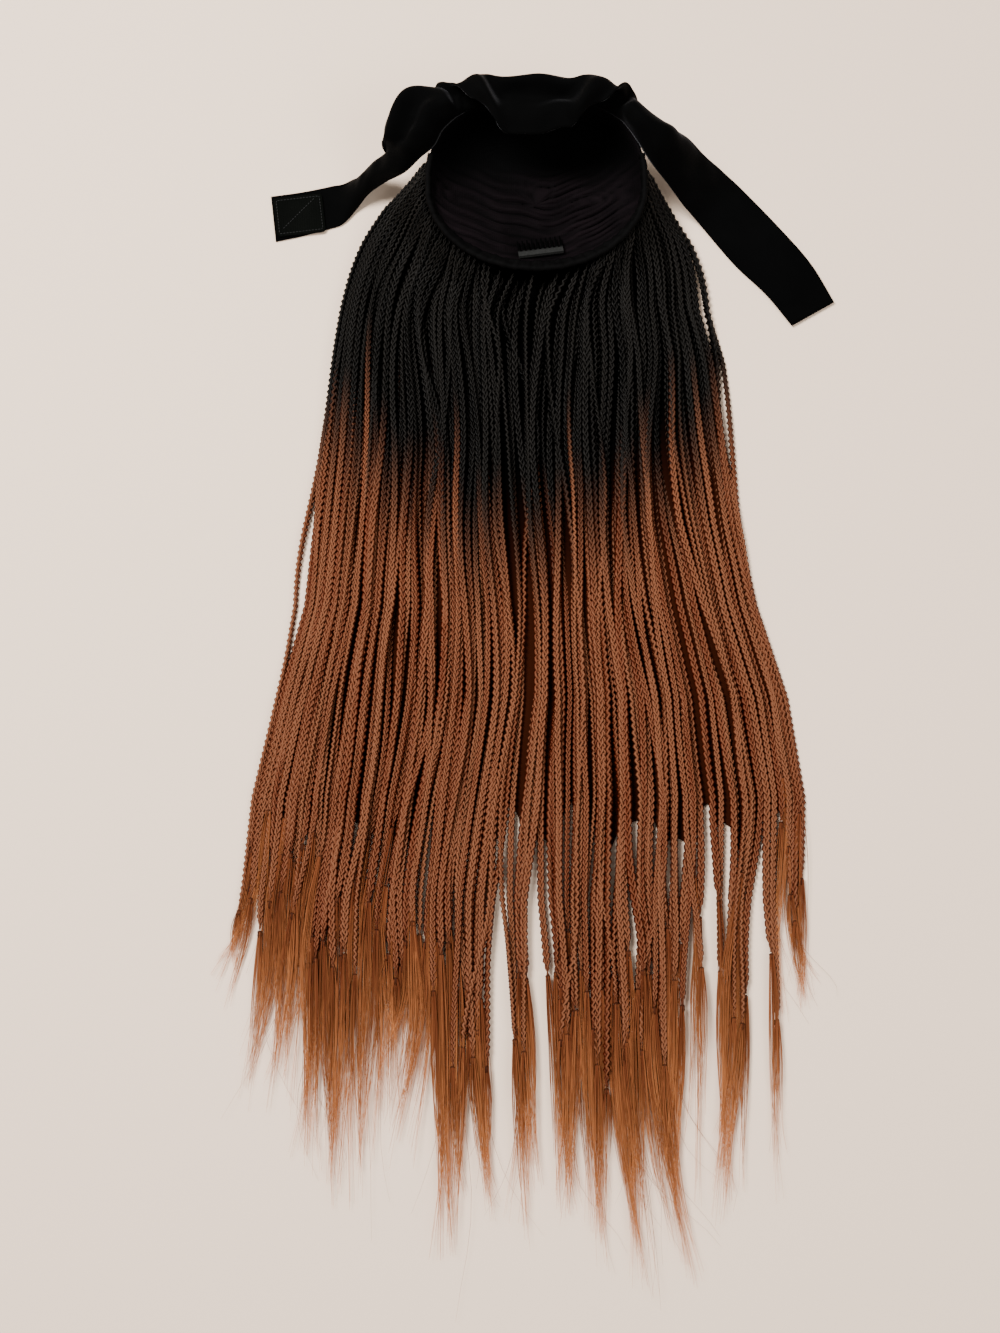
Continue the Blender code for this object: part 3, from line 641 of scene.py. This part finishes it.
def stitch(start, end, up, radius):
    """One stitch of sewing thread that dives into the cloth at both ends."""
    run = end - start
    side = np.cross(run, up)
    side = side / np.linalg.norm(side) * radius
    lift = np.asarray(up, float) * radius
    turns = [2 * math.pi * corner / STITCH_SIDES for corner in range(STITCH_SIDES)]
    rings = []
    for share, swell, height in STITCH_FORM:
        middle = start + run * share + lift * height
        rings.append([middle + (side * math.cos(turn) + lift * math.sin(turn)) * swell
                      for turn in turns])
    return rings


def stitch_row(points, up, length, radius):
    """Stitches along a line of points, with a short gap after each."""
    points = np.asarray(points, float)
    reach = ways_along(points)
    row = []
    for number in range(int(reach[-1] / length)):
        start, end = at_stops(reach, points, (number + np.array((0.1, 0.85))) * length)
        row.append(stitch(start, end, up, radius))
    return row


inset = 0.0022
hem_x = PATCH_LENGTH / 2 - inset
hem_y = PATCH_WIDTH / 2 - inset
patch_top = PATCH_THICKNESS + 0.0004
patch_hem = [on_patch(x, y, patch_top) for x, y in
             ((-hem_x, -hem_y), (hem_x, -hem_y), (hem_x, hem_y), (-hem_x, hem_y), (-hem_x, -hem_y))]
patch_slant = [on_patch(-hem_x * 0.82, -hem_y * 0.72, patch_top), on_patch(hem_x * 0.86, hem_y, patch_top)]
thread = new_material("polyester_sewing_thread", "#161616", 0.5, 0.3)
dress(thread, blend(thread, noise(thread, object_place(thread), 900.0, 2.0), "#0e0e0e", "#262626"))
patch_stitches = mesh_from_rings(
    "patch_stitches",
    stitch_row(patch_hem, (0.0, 0.0, 1.0), STITCH_LENGTH, STITCH_RADIUS)
    + stitch_row(patch_slant, (0.0, 0.0, 1.0), STITCH_LENGTH, STITCH_RADIUS), thread)
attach(patch_stitches, "root")

# Under layer: the plaits lowest in the heap, which lie round and under the cap and show only as dark ribs
# between the upper ones. It is one closed soft form, a little lower than the heap's top.
FALL_LENGTH = 0.711
FAN_WIDTH = 0.411
PILE_HEIGHT = 0.024
ROOT_CLEARANCE = 0.0014
COLLAR_SPREAD = 0.50
EDGE_HEIGHT = 0.009
FRINGE_WIDTH = 0.406
UNDER_SHARE = 0.50

Collar = namedtuple("Collar", "fore left right height")
COLLAR = (
    Collar(1.19, -0.50, 0.50, 0.70),
    Collar(1.14, -0.66, 0.64, 0.96),
    Collar(1.02, -0.82, 0.80, 1.0),
    Collar(0.80, -1.02, 0.98, 1.0),
    Collar(0.55, -1.20, 1.12, 1.0),
    Collar(0.20, -1.49, 1.32, 1.0),
    Collar(-0.05, -1.71, 1.43, 1.0),
    Collar(-0.45, -1.79, 1.55, 1.0),
    Collar(-0.85, -1.84, 1.58, 1.0),
)
Fan = namedtuple("Fan", "down left right height")
FAN = (
    Fan(0.03, -0.364, 0.306, 1.00),
    Fan(0.086, -0.375, 0.329, 0.98),
    Fan(0.17, -0.389, 0.346, 0.90),
    Fan(0.26, -0.405, 0.366, 0.82),
    Fan(0.345, -0.420, 0.395, 0.74),
    Fan(0.44, -0.463, 0.447, 0.66),
    Fan(0.54, -0.503, 0.472, 0.57),
    Fan(0.64, -0.519, 0.464, 0.48),
)
half_cap = CAP_WIDTH / 2
heap_rows = [(row.fore * (CAP_FRONT_LENGTH if row.fore > 0 else CAP_NAPE_LENGTH), row.left * half_cap,
              row.right * half_cap, row.height, FAN[0].height) for row in COLLAR]
heap_rows += [(-CAP_NAPE_LENGTH - row.down * FALL_LENGTH, row.left * FAN_WIDTH, row.right * FAN_WIDTH,
               1.0, row.height) for row in FAN]
fringe_middle = (FAN[-1].left + FAN[-1].right) / 2 * FAN_WIDTH
heap_rows.append((-CAP_NAPE_LENGTH - 0.74 * FALL_LENGTH, fringe_middle - FRINGE_WIDTH / 2,
                  fringe_middle + FRINGE_WIDTH / 2, 1.0, 0.40))
heap_rows.append((-CAP_NAPE_LENGTH - FALL_LENGTH, fringe_middle - FRINGE_WIDTH / 2,
                  fringe_middle + FRINGE_WIDTH / 2, 1.0, 0.10))
heap_table = np.array(heap_rows)[::-1]


def heap_at(y):
    """Left edge, right edge, collar share and pile share of the heap at one place down the wig."""
    return [float(np.interp(y, heap_table[:, 0], heap_table[:, column])) for column in (1, 2, 3, 4)]


def heap_height(x, y):
    """Top of the heaped plaits."""
    left, right, collar_share, pile_share = heap_at(y)
    across = float(np.clip(2 * (x - left) / (right - left) - 1, -1.0, 1.0))
    length = CAP_FRONT_LENGTH if y > 0 else CAP_NAPE_LENGTH
    turn = math.atan2(y / length, x / half_cap)
    away = math.hypot(x / half_cap, y / length)
    slope = math.exp(-(max(away - 1.0, 0.0) / COLLAR_SPREAD) ** 2)
    leg = BINDING_SIDE_LEG + (BINDING_LEG - BINDING_SIDE_LEG) * smoothstep(0.0, 0.9, -math.sin(turn))
    root = rim_height(turn) - leg - ROOT_CLEARANCE
    collar = (EDGE_HEIGHT + (root - EDGE_HEIGHT) * slope) * collar_share
    pile = PILE_HEIGHT * pile_share
    heaped = collar if y > 0 else min((collar ** 6 + pile ** 6) ** (1 / 6), root)
    return 0.94 * heaped * (1.0 - 0.72 * abs(across) ** 5)


def under_cap(x, y, height, clear):
    """The height, kept a little below the net where the cap is above."""
    below = Vector((x + CAP_MIDDLE[0], y + CAP_MIDDLE[1], -0.01))
    hit = cap_faces.ray_cast(below, Vector((0.0, 0.0, 1.0)))[0]
    return height if hit is None else min(height, hit.z - clear)


UNDER_ACROSS = 64
UNDER_ALONG = 90
UNDER_END = 0.57
UNDER_TONE = 0.2


def under_place(across, along):
    """Round the layer: over its top from left to right, then back along its flat underside."""
    above = across < 0.5
    share = 2 * across if above else 2 - 2 * across
    end = UNDER_END + 0.018 * math.sin(share * 51) + 0.012 * math.sin(share * 127 + 1)
    front = CAP_FRONT_LENGTH * 1.16
    y = front - (front + CAP_NAPE_LENGTH + end * FALL_LENGTH) * along
    left, right = heap_at(y)[:2]
    inset = 0.015 + 0.10 * smoothstep(-0.10, 0.0, y)
    x = left + (right - left) * (inset + (1 - 2 * inset) * share)
    ends = smoothstep(0.0, 0.03, along) * (1.0 - 0.8 * smoothstep(0.6, 1.0, along))
    if not above:
        return np.array((x, y, 0.0006))
    ribs = 0.0011 * math.sin(share * 2 * math.pi * 31 + 2 * math.sin(y * 30))
    height = heap_height(x, y) * UNDER_SHARE * ends + ribs * ends
    edge = smoothstep(0.0, 0.02, share) * smoothstep(1.0, 0.98, share)
    return np.array((x, y, max(under_cap(x, y, height, 0.0015) * edge, 0.0) + 0.0006))


under_layer = lay_cloth("under_layer", UNDER_ACROSS * 2, UNDER_ALONG, under_place)
close_seams(under_layer)
bpy.ops.object.shade_smooth()


def ombre_at(x, y, stray):
    """Share of copper in the hair: black at the roots, later down the wig in its middle than at its sides."""
    left, right = heap_at(y)[:2]
    across = abs(2 * (x - left) / (right - left) - 1)
    down = (-CAP_NAPE_LENGTH - y) / FALL_LENGTH
    start = 0.205 - 0.135 * across ** 1.6 + stray
    return smoothstep(start, start + 0.17, down)


# Synthetic braiding hair: long modacrylic fibres, black at the roots and dip-dyed copper brown, in fine
# parallel strands. The painted tone also carries a painted sheen on the strands' ridges and painted shade
# between them.
STRAND_GRAIN = 0.00045
ROOT_CONTRAST = 2.2                # the painted highlight shows on the black hair only on the strands' ridges
DIP_CONTRAST = 1.5


def hair_finish(name, root_dark, root_light, dip_dark, dip_light, roughness, specular=0.03):
    """Hair whose two dyes meet where the painted share of copper says."""
    material = new_material(name, dip_dark, roughness, specular)
    stretch = add_node(material, "ShaderNodeMapping", {"Scale": (1.0, 0.12, 1.0)},
                       {"Vector": object_place(material)})
    place = stretch.outputs["Vector"]
    blotch = noise(material, place, 140.0, 3.0)
    # The painted tone holds each plait's own random tone and, on the plaits, their painted highlight and
    # painted shade.
    mixed = arithmetic(material, "MULTIPLY_ADD", blotch, 0.35, painted(material, "tone"))
    limit = add_node(material, "ShaderNodeClamp", {}, {"Value": mixed}).outputs["Result"]
    root = blend(material, arithmetic(material, "POWER", limit, ROOT_CONTRAST), root_dark, root_light)
    dip = blend(material, arithmetic(material, "POWER", limit, DIP_CONTRAST), dip_dark, dip_light)
    dress(material, blend(material, painted(material, "copper"), root, dip),
          noise(material, place, 1 / STRAND_GRAIN, 2.0), 0.4, 0.0003)
    return material


# Painted shade: the under layer's hair is coloured much darker than the plaits' own, for the shade it lies
# in.
under_hair = hair_finish("braiding_hair_in_shade", "#000000", "#020202", "#220a03", "#3a190b", 0.9, 0.02)
under_layer.data.materials.append(under_hair)
paint(under_layer, "copper", [ombre_at(x, y, 0.0) for x, y, _ in places_on(under_layer)])
paint(under_layer, "tone", [UNDER_TONE] * len(under_layer.data.vertices))
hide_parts("braids")
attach(under_layer, "root")

# Plaits: knotless three-strand plaits of braiding hair, each crocheted over the cap's edge and laid over its
# neighbours. They part into locks near their ends, and each ends in a knot.
PLAIT_REPEAT = 0.0162              # one full round of the three strands
PLAIT_STEPS = 6
STRAND_CORNERS = (math.pi / 2, math.pi * 7 / 6, math.pi * 11 / 6)
STRAND_SWAY = 0.00190
STRAND_LIFT = 0.00100
STRAND_HALF_WIDTH = 0.00170
STRAND_HALF_THICKNESS = 0.00115
PLAIT_HALF_WIDTH = STRAND_SWAY + 0.87 * STRAND_HALF_WIDTH
PLAIT_HALF_THICKNESS = STRAND_LIFT + STRAND_HALF_THICKNESS
LAYER_STEP = 0.0034
ROOT_CROWDING = 0.80               # below 1 the roots stand closer at the sides of the cap than at its nape
ROOT_REACH = 0.028                 # how soon a plait leaves its root for its own lane
EDGE_RISE = 0.0125                 # the roots at the sides come up over the edge of the cap by this
OWN_TIP = 0.30                     # how far the tassels of a lock keep apart, 0 all in one point
RAGGED_ENDS = 0.07
PLAIT_POINTS = 150

# The locks that the plaits end in, from left to right: edges as shares of FRINGE_WIDTH, how many plaits they
# hold, where these part from the next, are knotted and end as shares of FALL_LENGTH, and where the hair's tip
# lies as a share of FRINGE_WIDTH.
Lock = namedtuple("Lock", "left right plaits part knots end tip")
LOCKS = (
    Lock(0.000, 0.034, 6, 0.62, 0.640, 0.745, -0.010),
    Lock(0.034, 0.070, 7, 0.68, 0.665, 0.826, 0.034),
    Lock(0.070, 0.115, 8, 0.70, 0.675, 0.825, 0.090),
    Lock(0.115, 0.150, 6, 0.70, 0.705, 0.890, 0.144),
    Lock(0.150, 0.205, 9, 0.72, 0.700, 0.920, 0.186),
    Lock(0.205, 0.260, 9, 0.72, 0.710, 0.890, 0.232),
    Lock(0.260, 0.300, 7, 0.72, 0.720, 0.845, 0.272),
    Lock(0.300, 0.345, 8, 0.72, 0.715, 0.872, 0.295),
    Lock(0.345, 0.405, 11, 0.74, 0.785, 0.955, 0.380),
    Lock(0.405, 0.440, 7, 0.72, 0.800, 0.935, 0.440),
    Lock(0.483, 0.518, 7, 0.69, 0.790, 0.955, 0.510),
    Lock(0.552, 0.600, 9, 0.70, 0.790, 0.930, 0.572),
    Lock(0.600, 0.650, 9, 0.76, 0.800, 0.965, 0.630),
    Lock(0.650, 0.710, 11, 0.76, 0.800, 0.985, 0.700),
    Lock(0.710, 0.750, 7, 0.76, 0.790, 0.985, 0.770),
    Lock(0.750, 0.782, 6, 0.74, 0.770, 0.940, 0.752),
    Lock(0.802, 0.820, 3, 0.66, 0.742, 0.900, 0.800),
    Lock(0.845, 0.895, 10, 0.70, 0.740, 0.920, 0.845),
    Lock(0.938, 0.950, 2, 0.71, 0.755, 0.920, 0.918),
    Lock(0.955, 1.000, 7, 0.66, 0.665, 0.740, 0.985),
)
PLAITS = sum(lock.plaits for lock in LOCKS)

# Plaits that stand away from the others, a row each: share across the fan, how far out, and where down it.
Loose = namedtuple("Loose", "share out down span")
LOOSE = (
    Loose(0.004, -0.008, 0.42, 0.09),
    Loose(0.018, -0.006, 0.30, 0.08),
    Loose(0.045, -0.006, 0.55, 0.10),
    Loose(0.996, 0.008, 0.20, 0.14),
    Loose(0.982, 0.010, 0.13, 0.10),
    Loose(0.960, 0.012, 0.36, 0.14),
    Loose(0.400, 0.012, 0.08, 0.06),
    Loose(0.460, 0.024, 0.16, 0.10),
    Loose(0.560, 0.016, 0.12, 0.07),
    Loose(0.640, -0.014, 0.15, 0.08),
    Loose(0.300, -0.010, 0.10, 0.06),
)

chance = np.random.default_rng(7)


def share_across(lock, place):
    """Where a plait lies across the fan before the locks part."""
    index = LOCKS.index(lock)
    left = lock.left if index == 0 else (LOCKS[index - 1].right + lock.left) / 2
    right = lock.right if index == len(LOCKS) - 1 else (lock.right + LOCKS[index + 1].left) / 2
    return left + (right - left) * place


def plait_line(lock, place, layer, knot, wander, drift):
    """Centre line of one plait from its root to its knot, and on to its tassel's tip."""
    wide = share_across(lock, place)
    side = 2 * wide - 1
    own = lock.left + (lock.right - lock.left) * place
    first, last = BINDING_TURNS
    crowded = math.copysign(abs(side) ** ROOT_CROWDING, side)
    turn = math.radians((first + last) / 2 + (last - first) / 2 * crowded)
    beside = smoothstep(0.30, 0.70, abs(math.cos(turn)))
    over_edge = beside if layer < 2 else 0.4 + 0.6 * beside
    root = rim_plan(turn) + rim_outwards(turn) * (0.0036 - 0.0030 * over_edge)
    loose_out = [row for row in LOOSE if abs(row.share - wide) < 0.5 / PLAITS]
    own_tip = lock.tip + OWN_TIP * (own - (lock.left + lock.right) / 2) + 0.004 * wander[0]
    tip_x = fringe_middle + (own_tip - 0.5) * FRINGE_WIDTH
    tip_y = -CAP_NAPE_LENGTH - FALL_LENGTH * (lock.end - RAGGED_ENDS * wander[0] ** 2)
    part_y = -CAP_NAPE_LENGTH - FALL_LENGTH * lock.part
    line = []
    for step in range(PLAIT_POINTS + 1):
        y = root[1] + (tip_y - root[1]) * step / PLAIT_POINTS
        left, right = heap_at(y)[:2]
        below = (-CAP_NAPE_LENGTH - y) / FALL_LENGTH
        spread = ROOT_CROWDING + (1 - ROOT_CROWDING) * smoothstep(0.0, 0.20, below)
        lane_share = 0.5 + 0.5 * math.copysign(abs(side) ** spread, side)
        parted = smoothstep(part_y + 0.12, part_y, y)
        share = lane_share * (1 - parted) + own * parted
        lane = left + (right - left) * (0.012 + 0.976 * share)
        if y < part_y:
            gone = ((part_y - y) / (part_y - tip_y)) ** 2.0
            lane = lane * (1 - gone) + tip_x * gone
        down = (root[1] - y) / FALL_LENGTH
        settle = 1 - math.exp(-(root[1] - y) / ROOT_REACH)
        x = root[0] + (lane - root[0]) * settle
        sway = (wander[1] * math.sin(down * 11 + wander[2])
                + 0.5 * wander[3] * math.sin(down * 23 + wander[4])
                + 0.0030 * math.sin(down * 9 + 8 * wide + 1) + 0.0014 * math.sin(down * 19 + 15 * wide)
                + 0.0046 * math.sin(62 * wide + 5 * down + 1.3) * math.exp(-down / 0.15))
        held = smoothstep(0.0, 0.05, down) * (1 - smoothstep(0.62, 0.80, down))
        held *= smoothstep(1.0, 0.7, abs(side))
        x += (sway + drift * smoothstep(0.02, 0.40, down)) * held
        x += sum(row.out * math.exp(-((down - row.down) / row.span) ** 2) for row in loose_out)
        top = heap_height(x, y)
        z = top - PLAIT_HALF_THICKNESS - (2 - layer) * LAYER_STEP * smoothstep(0.002, 0.020, top)
        z += 0.0009 * math.sin(down * 31 + wander[4]) * smoothstep(0.02, 0.08, down)
        z += (EDGE_RISE - 0.0010 * layer) * over_edge * math.exp(-((root[1] - y) / 0.013) ** 1.5)
        z = under_cap(x, y, z, PLAIT_HALF_THICKNESS + 0.001) if step > 12 else z
        line.append((x, y, max(z, PLAIT_HALF_THICKNESS + 0.0002)))
    line = np.array(line)
    knot_y = -CAP_NAPE_LENGTH - FALL_LENGTH * knot
    cut = int(np.argmax(line[:, 1] < knot_y)) if (line[:, 1] < knot_y).any() else PLAIT_POINTS
    return line[:cut + 1], line[cut:]


def even_steps(line, step):
    """The line again, with points a fixed way apart."""
    reach = ways_along(line)
    return at_stops(reach, line, np.arange(0.0, reach[-1], step))


def sides_of(line):
    """Unit vectors across a line and up from it."""
    ahead = np.gradient(line, axis=0)
    ahead /= np.linalg.norm(ahead, axis=1)[:, None]
    across = np.cross(ahead, np.array((0.0, 0.0, 1.0)))
    across /= np.linalg.norm(across, axis=1)[:, None]
    return across, np.cross(across, ahead)


def plait_strands(line, size, roll):
    """The three strands of a plait as rings of three points, each crossing over the others in turn, and how
    high each point lies in the plait, from -1 to 1."""
    centres = even_steps(line, PLAIT_REPEAT * size / PLAIT_STEPS)
    across, up = sides_of(centres)
    count = len(centres)
    leaning = roll[0] + roll[1] * np.sin(np.arange(count) * 2 * np.pi / (PLAIT_STEPS * 17) + roll[2])
    flat = np.cos(leaning)[:, None]
    edge = np.sin(leaning)[:, None]
    wide = across * flat + up * edge
    thick = up * flat - across * edge
    tall = (PLAIT_HALF_THICKNESS * np.abs(flat) + PLAIT_HALF_WIDTH * np.abs(edge)) * size
    ends = np.clip(np.minimum(np.arange(count), count - 1 - np.arange(count)) / 4, 0.35, 1.0)
    strands = []
    for strand in range(3):
        phase = 2 * np.pi * (np.arange(count) / PLAIT_STEPS + strand / 3)
        middle = (wide * (STRAND_SWAY * size * np.sin(phase) * ends)[:, None]
                  - thick * (STRAND_LIFT * size * np.sin(2 * phase))[:, None])
        ring = []
        for turn in STRAND_CORNERS:
            ring.append(middle + across * (STRAND_HALF_WIDTH * size * math.cos(turn) * ends)[:, None]
                        + up * (STRAND_HALF_THICKNESS * size * math.sin(turn) * ends)[:, None])
        ring = np.stack(ring, axis=1)
        levels = ring[:, :, 2] / tall
        ring += centres[:, None, :]
        ring[:, :, 2] = np.maximum(ring[:, :, 2], 0.0004)
        strands.append((ring, levels))
    return strands


def mesh_from_strands(name, strands, coppers, tones, material):
    """One piece out of many strands: rings of points, open at the ends, with the paint for each point."""
    points = []
    faces = []
    start = 0
    for strand in strands:
        rows, count = strand.shape[:2]
        points.append(strand.reshape(-1, 3))
        here = start + (np.arange(rows - 1)[:, None] * count + np.arange(count)[None, :])
        beside = start + (np.arange(rows - 1)[:, None] * count + (np.arange(count)[None, :] + 1) % count)
        faces.append(np.stack((here, beside, beside + count, here + count), axis=-1).reshape(-1, 4))
        start += rows * count
    points = np.concatenate(points) + CAP_MIDDLE
    faces = np.concatenate(faces)
    mesh = bpy.data.meshes.new(name)
    mesh.vertices.add(len(points))
    mesh.vertices.foreach_set("co", points.ravel())
    mesh.loops.add(faces.size)
    mesh.loops.foreach_set("vertex_index", faces.ravel().astype(np.int32))
    mesh.polygons.add(len(faces))
    mesh.polygons.foreach_set("loop_start", np.arange(0, faces.size, 4, dtype=np.int32))
    mesh.update()
    mesh.validate()
    mesh.shade_smooth()
    piece = bpy.data.objects.new(name, mesh)
    bpy.context.scene.collection.objects.link(piece)
    mesh.materials.append(material)
    paint(piece, "copper", np.concatenate(coppers))
    paint(piece, "tone", np.concatenate(tones))
    return piece


plaited_hair = hair_finish("modacrylic_braiding_hair", "#000000", "#191715", "#451204", "#744831", 0.42)
GROUPS = 8
LEVEL_PAINTED_LIGHT = 0.50                  # painted highlight where a strand crosses over the others, painted shade where it dips under them
RIDGE_PAINTED_LIGHT = 0.34                  # painted highlight on a strand's ridge, painted shade on its sides
groups = [([], [], []) for _ in range(GROUPS)]
tassels = []
number = 0
for lock in LOCKS:
    for lane in range(lock.plaits):
        place = (lane + 0.5 + chance.uniform(-0.15, 0.15)) / lock.plaits
        layer = (2, 0, 1)[number % 3]
        wander = chance.uniform(-1, 1, 5)
        straying = layer == 2 and chance.uniform() < 0.45
        wander[1] *= 0.0075 if straying else 0.0034
        wander[3] *= 0.0060 if straying else 0.0024
        wander[2] *= math.pi
        wander[4] *= math.pi
        drift = chance.uniform(-1, 1) * (0.024 if straying else 0.0045)
        knot = lock.knots + (chance.uniform(-0.045, 0.020) if layer == 2 else chance.uniform(-0.090, 0.0))
        if chance.uniform() < 0.35:
            knot -= chance.uniform(0.02, 0.10)
        size = chance.uniform(0.72, 1.02)
        leans = chance.uniform() < 0.3
        roll = (chance.uniform(0.9, 1.6) * chance.choice((-1, 1)) if leans else chance.uniform(-0.3, 0.3),
                chance.uniform(0.1, 0.5), chance.uniform(0, 2 * math.pi))
        stray = chance.uniform(-0.035, 0.035) - (0.07 if chance.uniform() < 0.08 else 0.0)
        tone = chance.uniform(0.10, 0.50)
        body, tail = plait_line(lock, place, layer, knot, wander, drift)
        strands, coppers, tones = groups[number * GROUPS // PLAITS]
        for strand, levels in plait_strands(body, size, roll):
            strands.append(strand)
            coppers.append([ombre_at(x, y, stray) for x, y in strand[:, 0, :2] for _ in range(3)])
            # Painted highlight and shade: the plait's own random tone, raised where the strand lies high and
            # on its ridge, lowered where it dips and on its sides.
            ridge_painted_highlight = np.array((RIDGE_PAINTED_LIGHT, -RIDGE_PAINTED_LIGHT, -RIDGE_PAINTED_LIGHT))
            tones.append((tone + LEVEL_PAINTED_LIGHT * levels + ridge_painted_highlight).ravel())
        tassels.append((tail, tone))
        number += 1
for number, (strands, coppers, tones) in enumerate(groups):
    plaits = mesh_from_strands(f"plaits_{number + 1}", strands, coppers, tones, plaited_hair)
    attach(plaits, "root")

# Knots and tassels: the last of each plait is wound with its own hair into a small tight knot, and below it
# the hair hangs loose, gathers into pointed locks and thins out to single hairs, more copper at the ends.
KNOT_LENGTH = 0.0056
KNOT_HALF_WIDTH = 0.0019
KNOT_SIDES = 7
KNOT_FORM = ((0.0, 0.55), (0.18, 1.0), (0.42, 0.86), (0.62, 1.0), (0.85, 0.8), (1.0, 0.4))
LOCK_HAIRS = 30
HAIR_STEPS = 6
HAIR_RADIUS = 0.00030
FLYAWAYS = 70

knot_hair = hair_finish("tightly_wound_hair", "#050303", "#0e0a08", "#2a0f06", "#55301c", 0.5)
loose_hair = hair_finish("loose_modacrylic_hair", "#0c0907", "#1e1712", "#64321c", "#cf8450", 0.5)


def hair_strand(tail, across, length, spread, curl, wave, rise, radius, steps):
    """One loose hair along a tassel's line, as rings of three points that thin out to its end."""
    shares = np.linspace(0.0, length, steps + 1)
    stops = np.minimum(shares, 1.0) * (len(tail) - 1)
    middle = at_stops(np.arange(len(tail)), tail, stops)
    side = at_stops(np.arange(len(tail)), across, stops)
    middle = middle + np.maximum(shares - 1.0, 0.0)[:, None] * (tail[-1] - tail[0])
    gathered = np.clip(1.0 - shares, 0.0, 1.0) ** 0.8
    bulge = 0.0014 + 0.0036 * np.sin(np.pi * np.minimum(shares * 1.1, 1.0))
    middle = middle + side * (spread * bulge * (0.2 + 0.8 * gathered) + curl * shares ** 2.6)[:, None]
    middle = middle + side * (wave * np.sin(5.5 * shares + 300 * wave) * shares ** 2)[:, None]
    middle[:, 2] = np.maximum(middle[:, 2] + 0.0016 * rise * gathered, 0.0005)
    thin = radius * (1.0 - 0.8 * shares / length)
    ring = [middle + side * (thin * math.cos(turn))[:, None]
            + np.array((0.0, 0.0, 1.0)) * (thin * 0.8 * math.sin(turn))[:, None]
            for turn in STRAND_CORNERS]
    return np.stack(ring, axis=1), shares


knot_strands, knot_coppers, knot_tones = [], [], []
hair_strands, hair_coppers, hair_tones = [], [], []
tassels = [row for row in tassels if len(row[0]) > 3]
for tail, tone in tassels:
    across, up = sides_of(tail)
    knot_rings = []
    ahead = (tail[1] - tail[0]) / np.linalg.norm(tail[1] - tail[0])
    for share, swell in KNOT_FORM:
        middle = tail[0] + ahead * KNOT_LENGTH * (share - 0.2)
        knot_rings.append([middle + across[0] * KNOT_HALF_WIDTH * swell * math.cos(turn)
                           + up[0] * KNOT_HALF_WIDTH * 0.85 * swell * math.sin(turn)
                           for turn in np.linspace(0.0, 2 * math.pi, KNOT_SIDES, endpoint=False)])
    knot_strands.append(np.array(knot_rings))
    knot_coppers.append(np.ones(len(knot_rings) * KNOT_SIDES))
    knot_tones.append(np.full(len(knot_rings) * KNOT_SIDES, tone * 0.5))
    bend = chance.normal(0.0, 0.0045)
    for hair in range(LOCK_HAIRS):
        length = chance.uniform(0.30, 0.95) if chance.uniform() < 0.8 else chance.uniform(0.95, 1.12)
        strand, shares = hair_strand(tail, across, length, chance.uniform(-1, 1),
                                     bend + chance.normal(0.0, 0.0016), 0.0, chance.uniform(-0.8, 1.0),
                                     HAIR_RADIUS, HAIR_STEPS)
        hair_strands.append(strand)
        hair_coppers.append(np.ones(strand.shape[0] * 3))
        hair_tones.append(np.repeat(tone * 0.5 - 0.20 + 0.9 * shares + chance.uniform(-0.2, 0.2), 3))
for hair in range(FLYAWAYS):
    tail = tassels[chance.integers(len(tassels))][0]
    across = sides_of(tail)[0]
    strand, shares = hair_strand(tail, across, chance.uniform(0.8, 1.3), chance.uniform(-2, 2),
                                 chance.normal(0.0, 0.014), chance.normal(0.0, 0.010),
                                 chance.uniform(0.0, 2.0), HAIR_RADIUS, 2 * HAIR_STEPS)
    hair_strands.append(strand)
    hair_coppers.append(np.ones(strand.shape[0] * 3))
    hair_tones.append(np.repeat(0.1 + 0.3 * shares, 3))
knots = mesh_from_strands("knots", knot_strands, knot_coppers, knot_tones, knot_hair)
tassel_hair = mesh_from_strands("tassels", hair_strands, hair_coppers, hair_tones, loose_hair)
for piece in (knots, tassel_hair):
    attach(piece, "root")
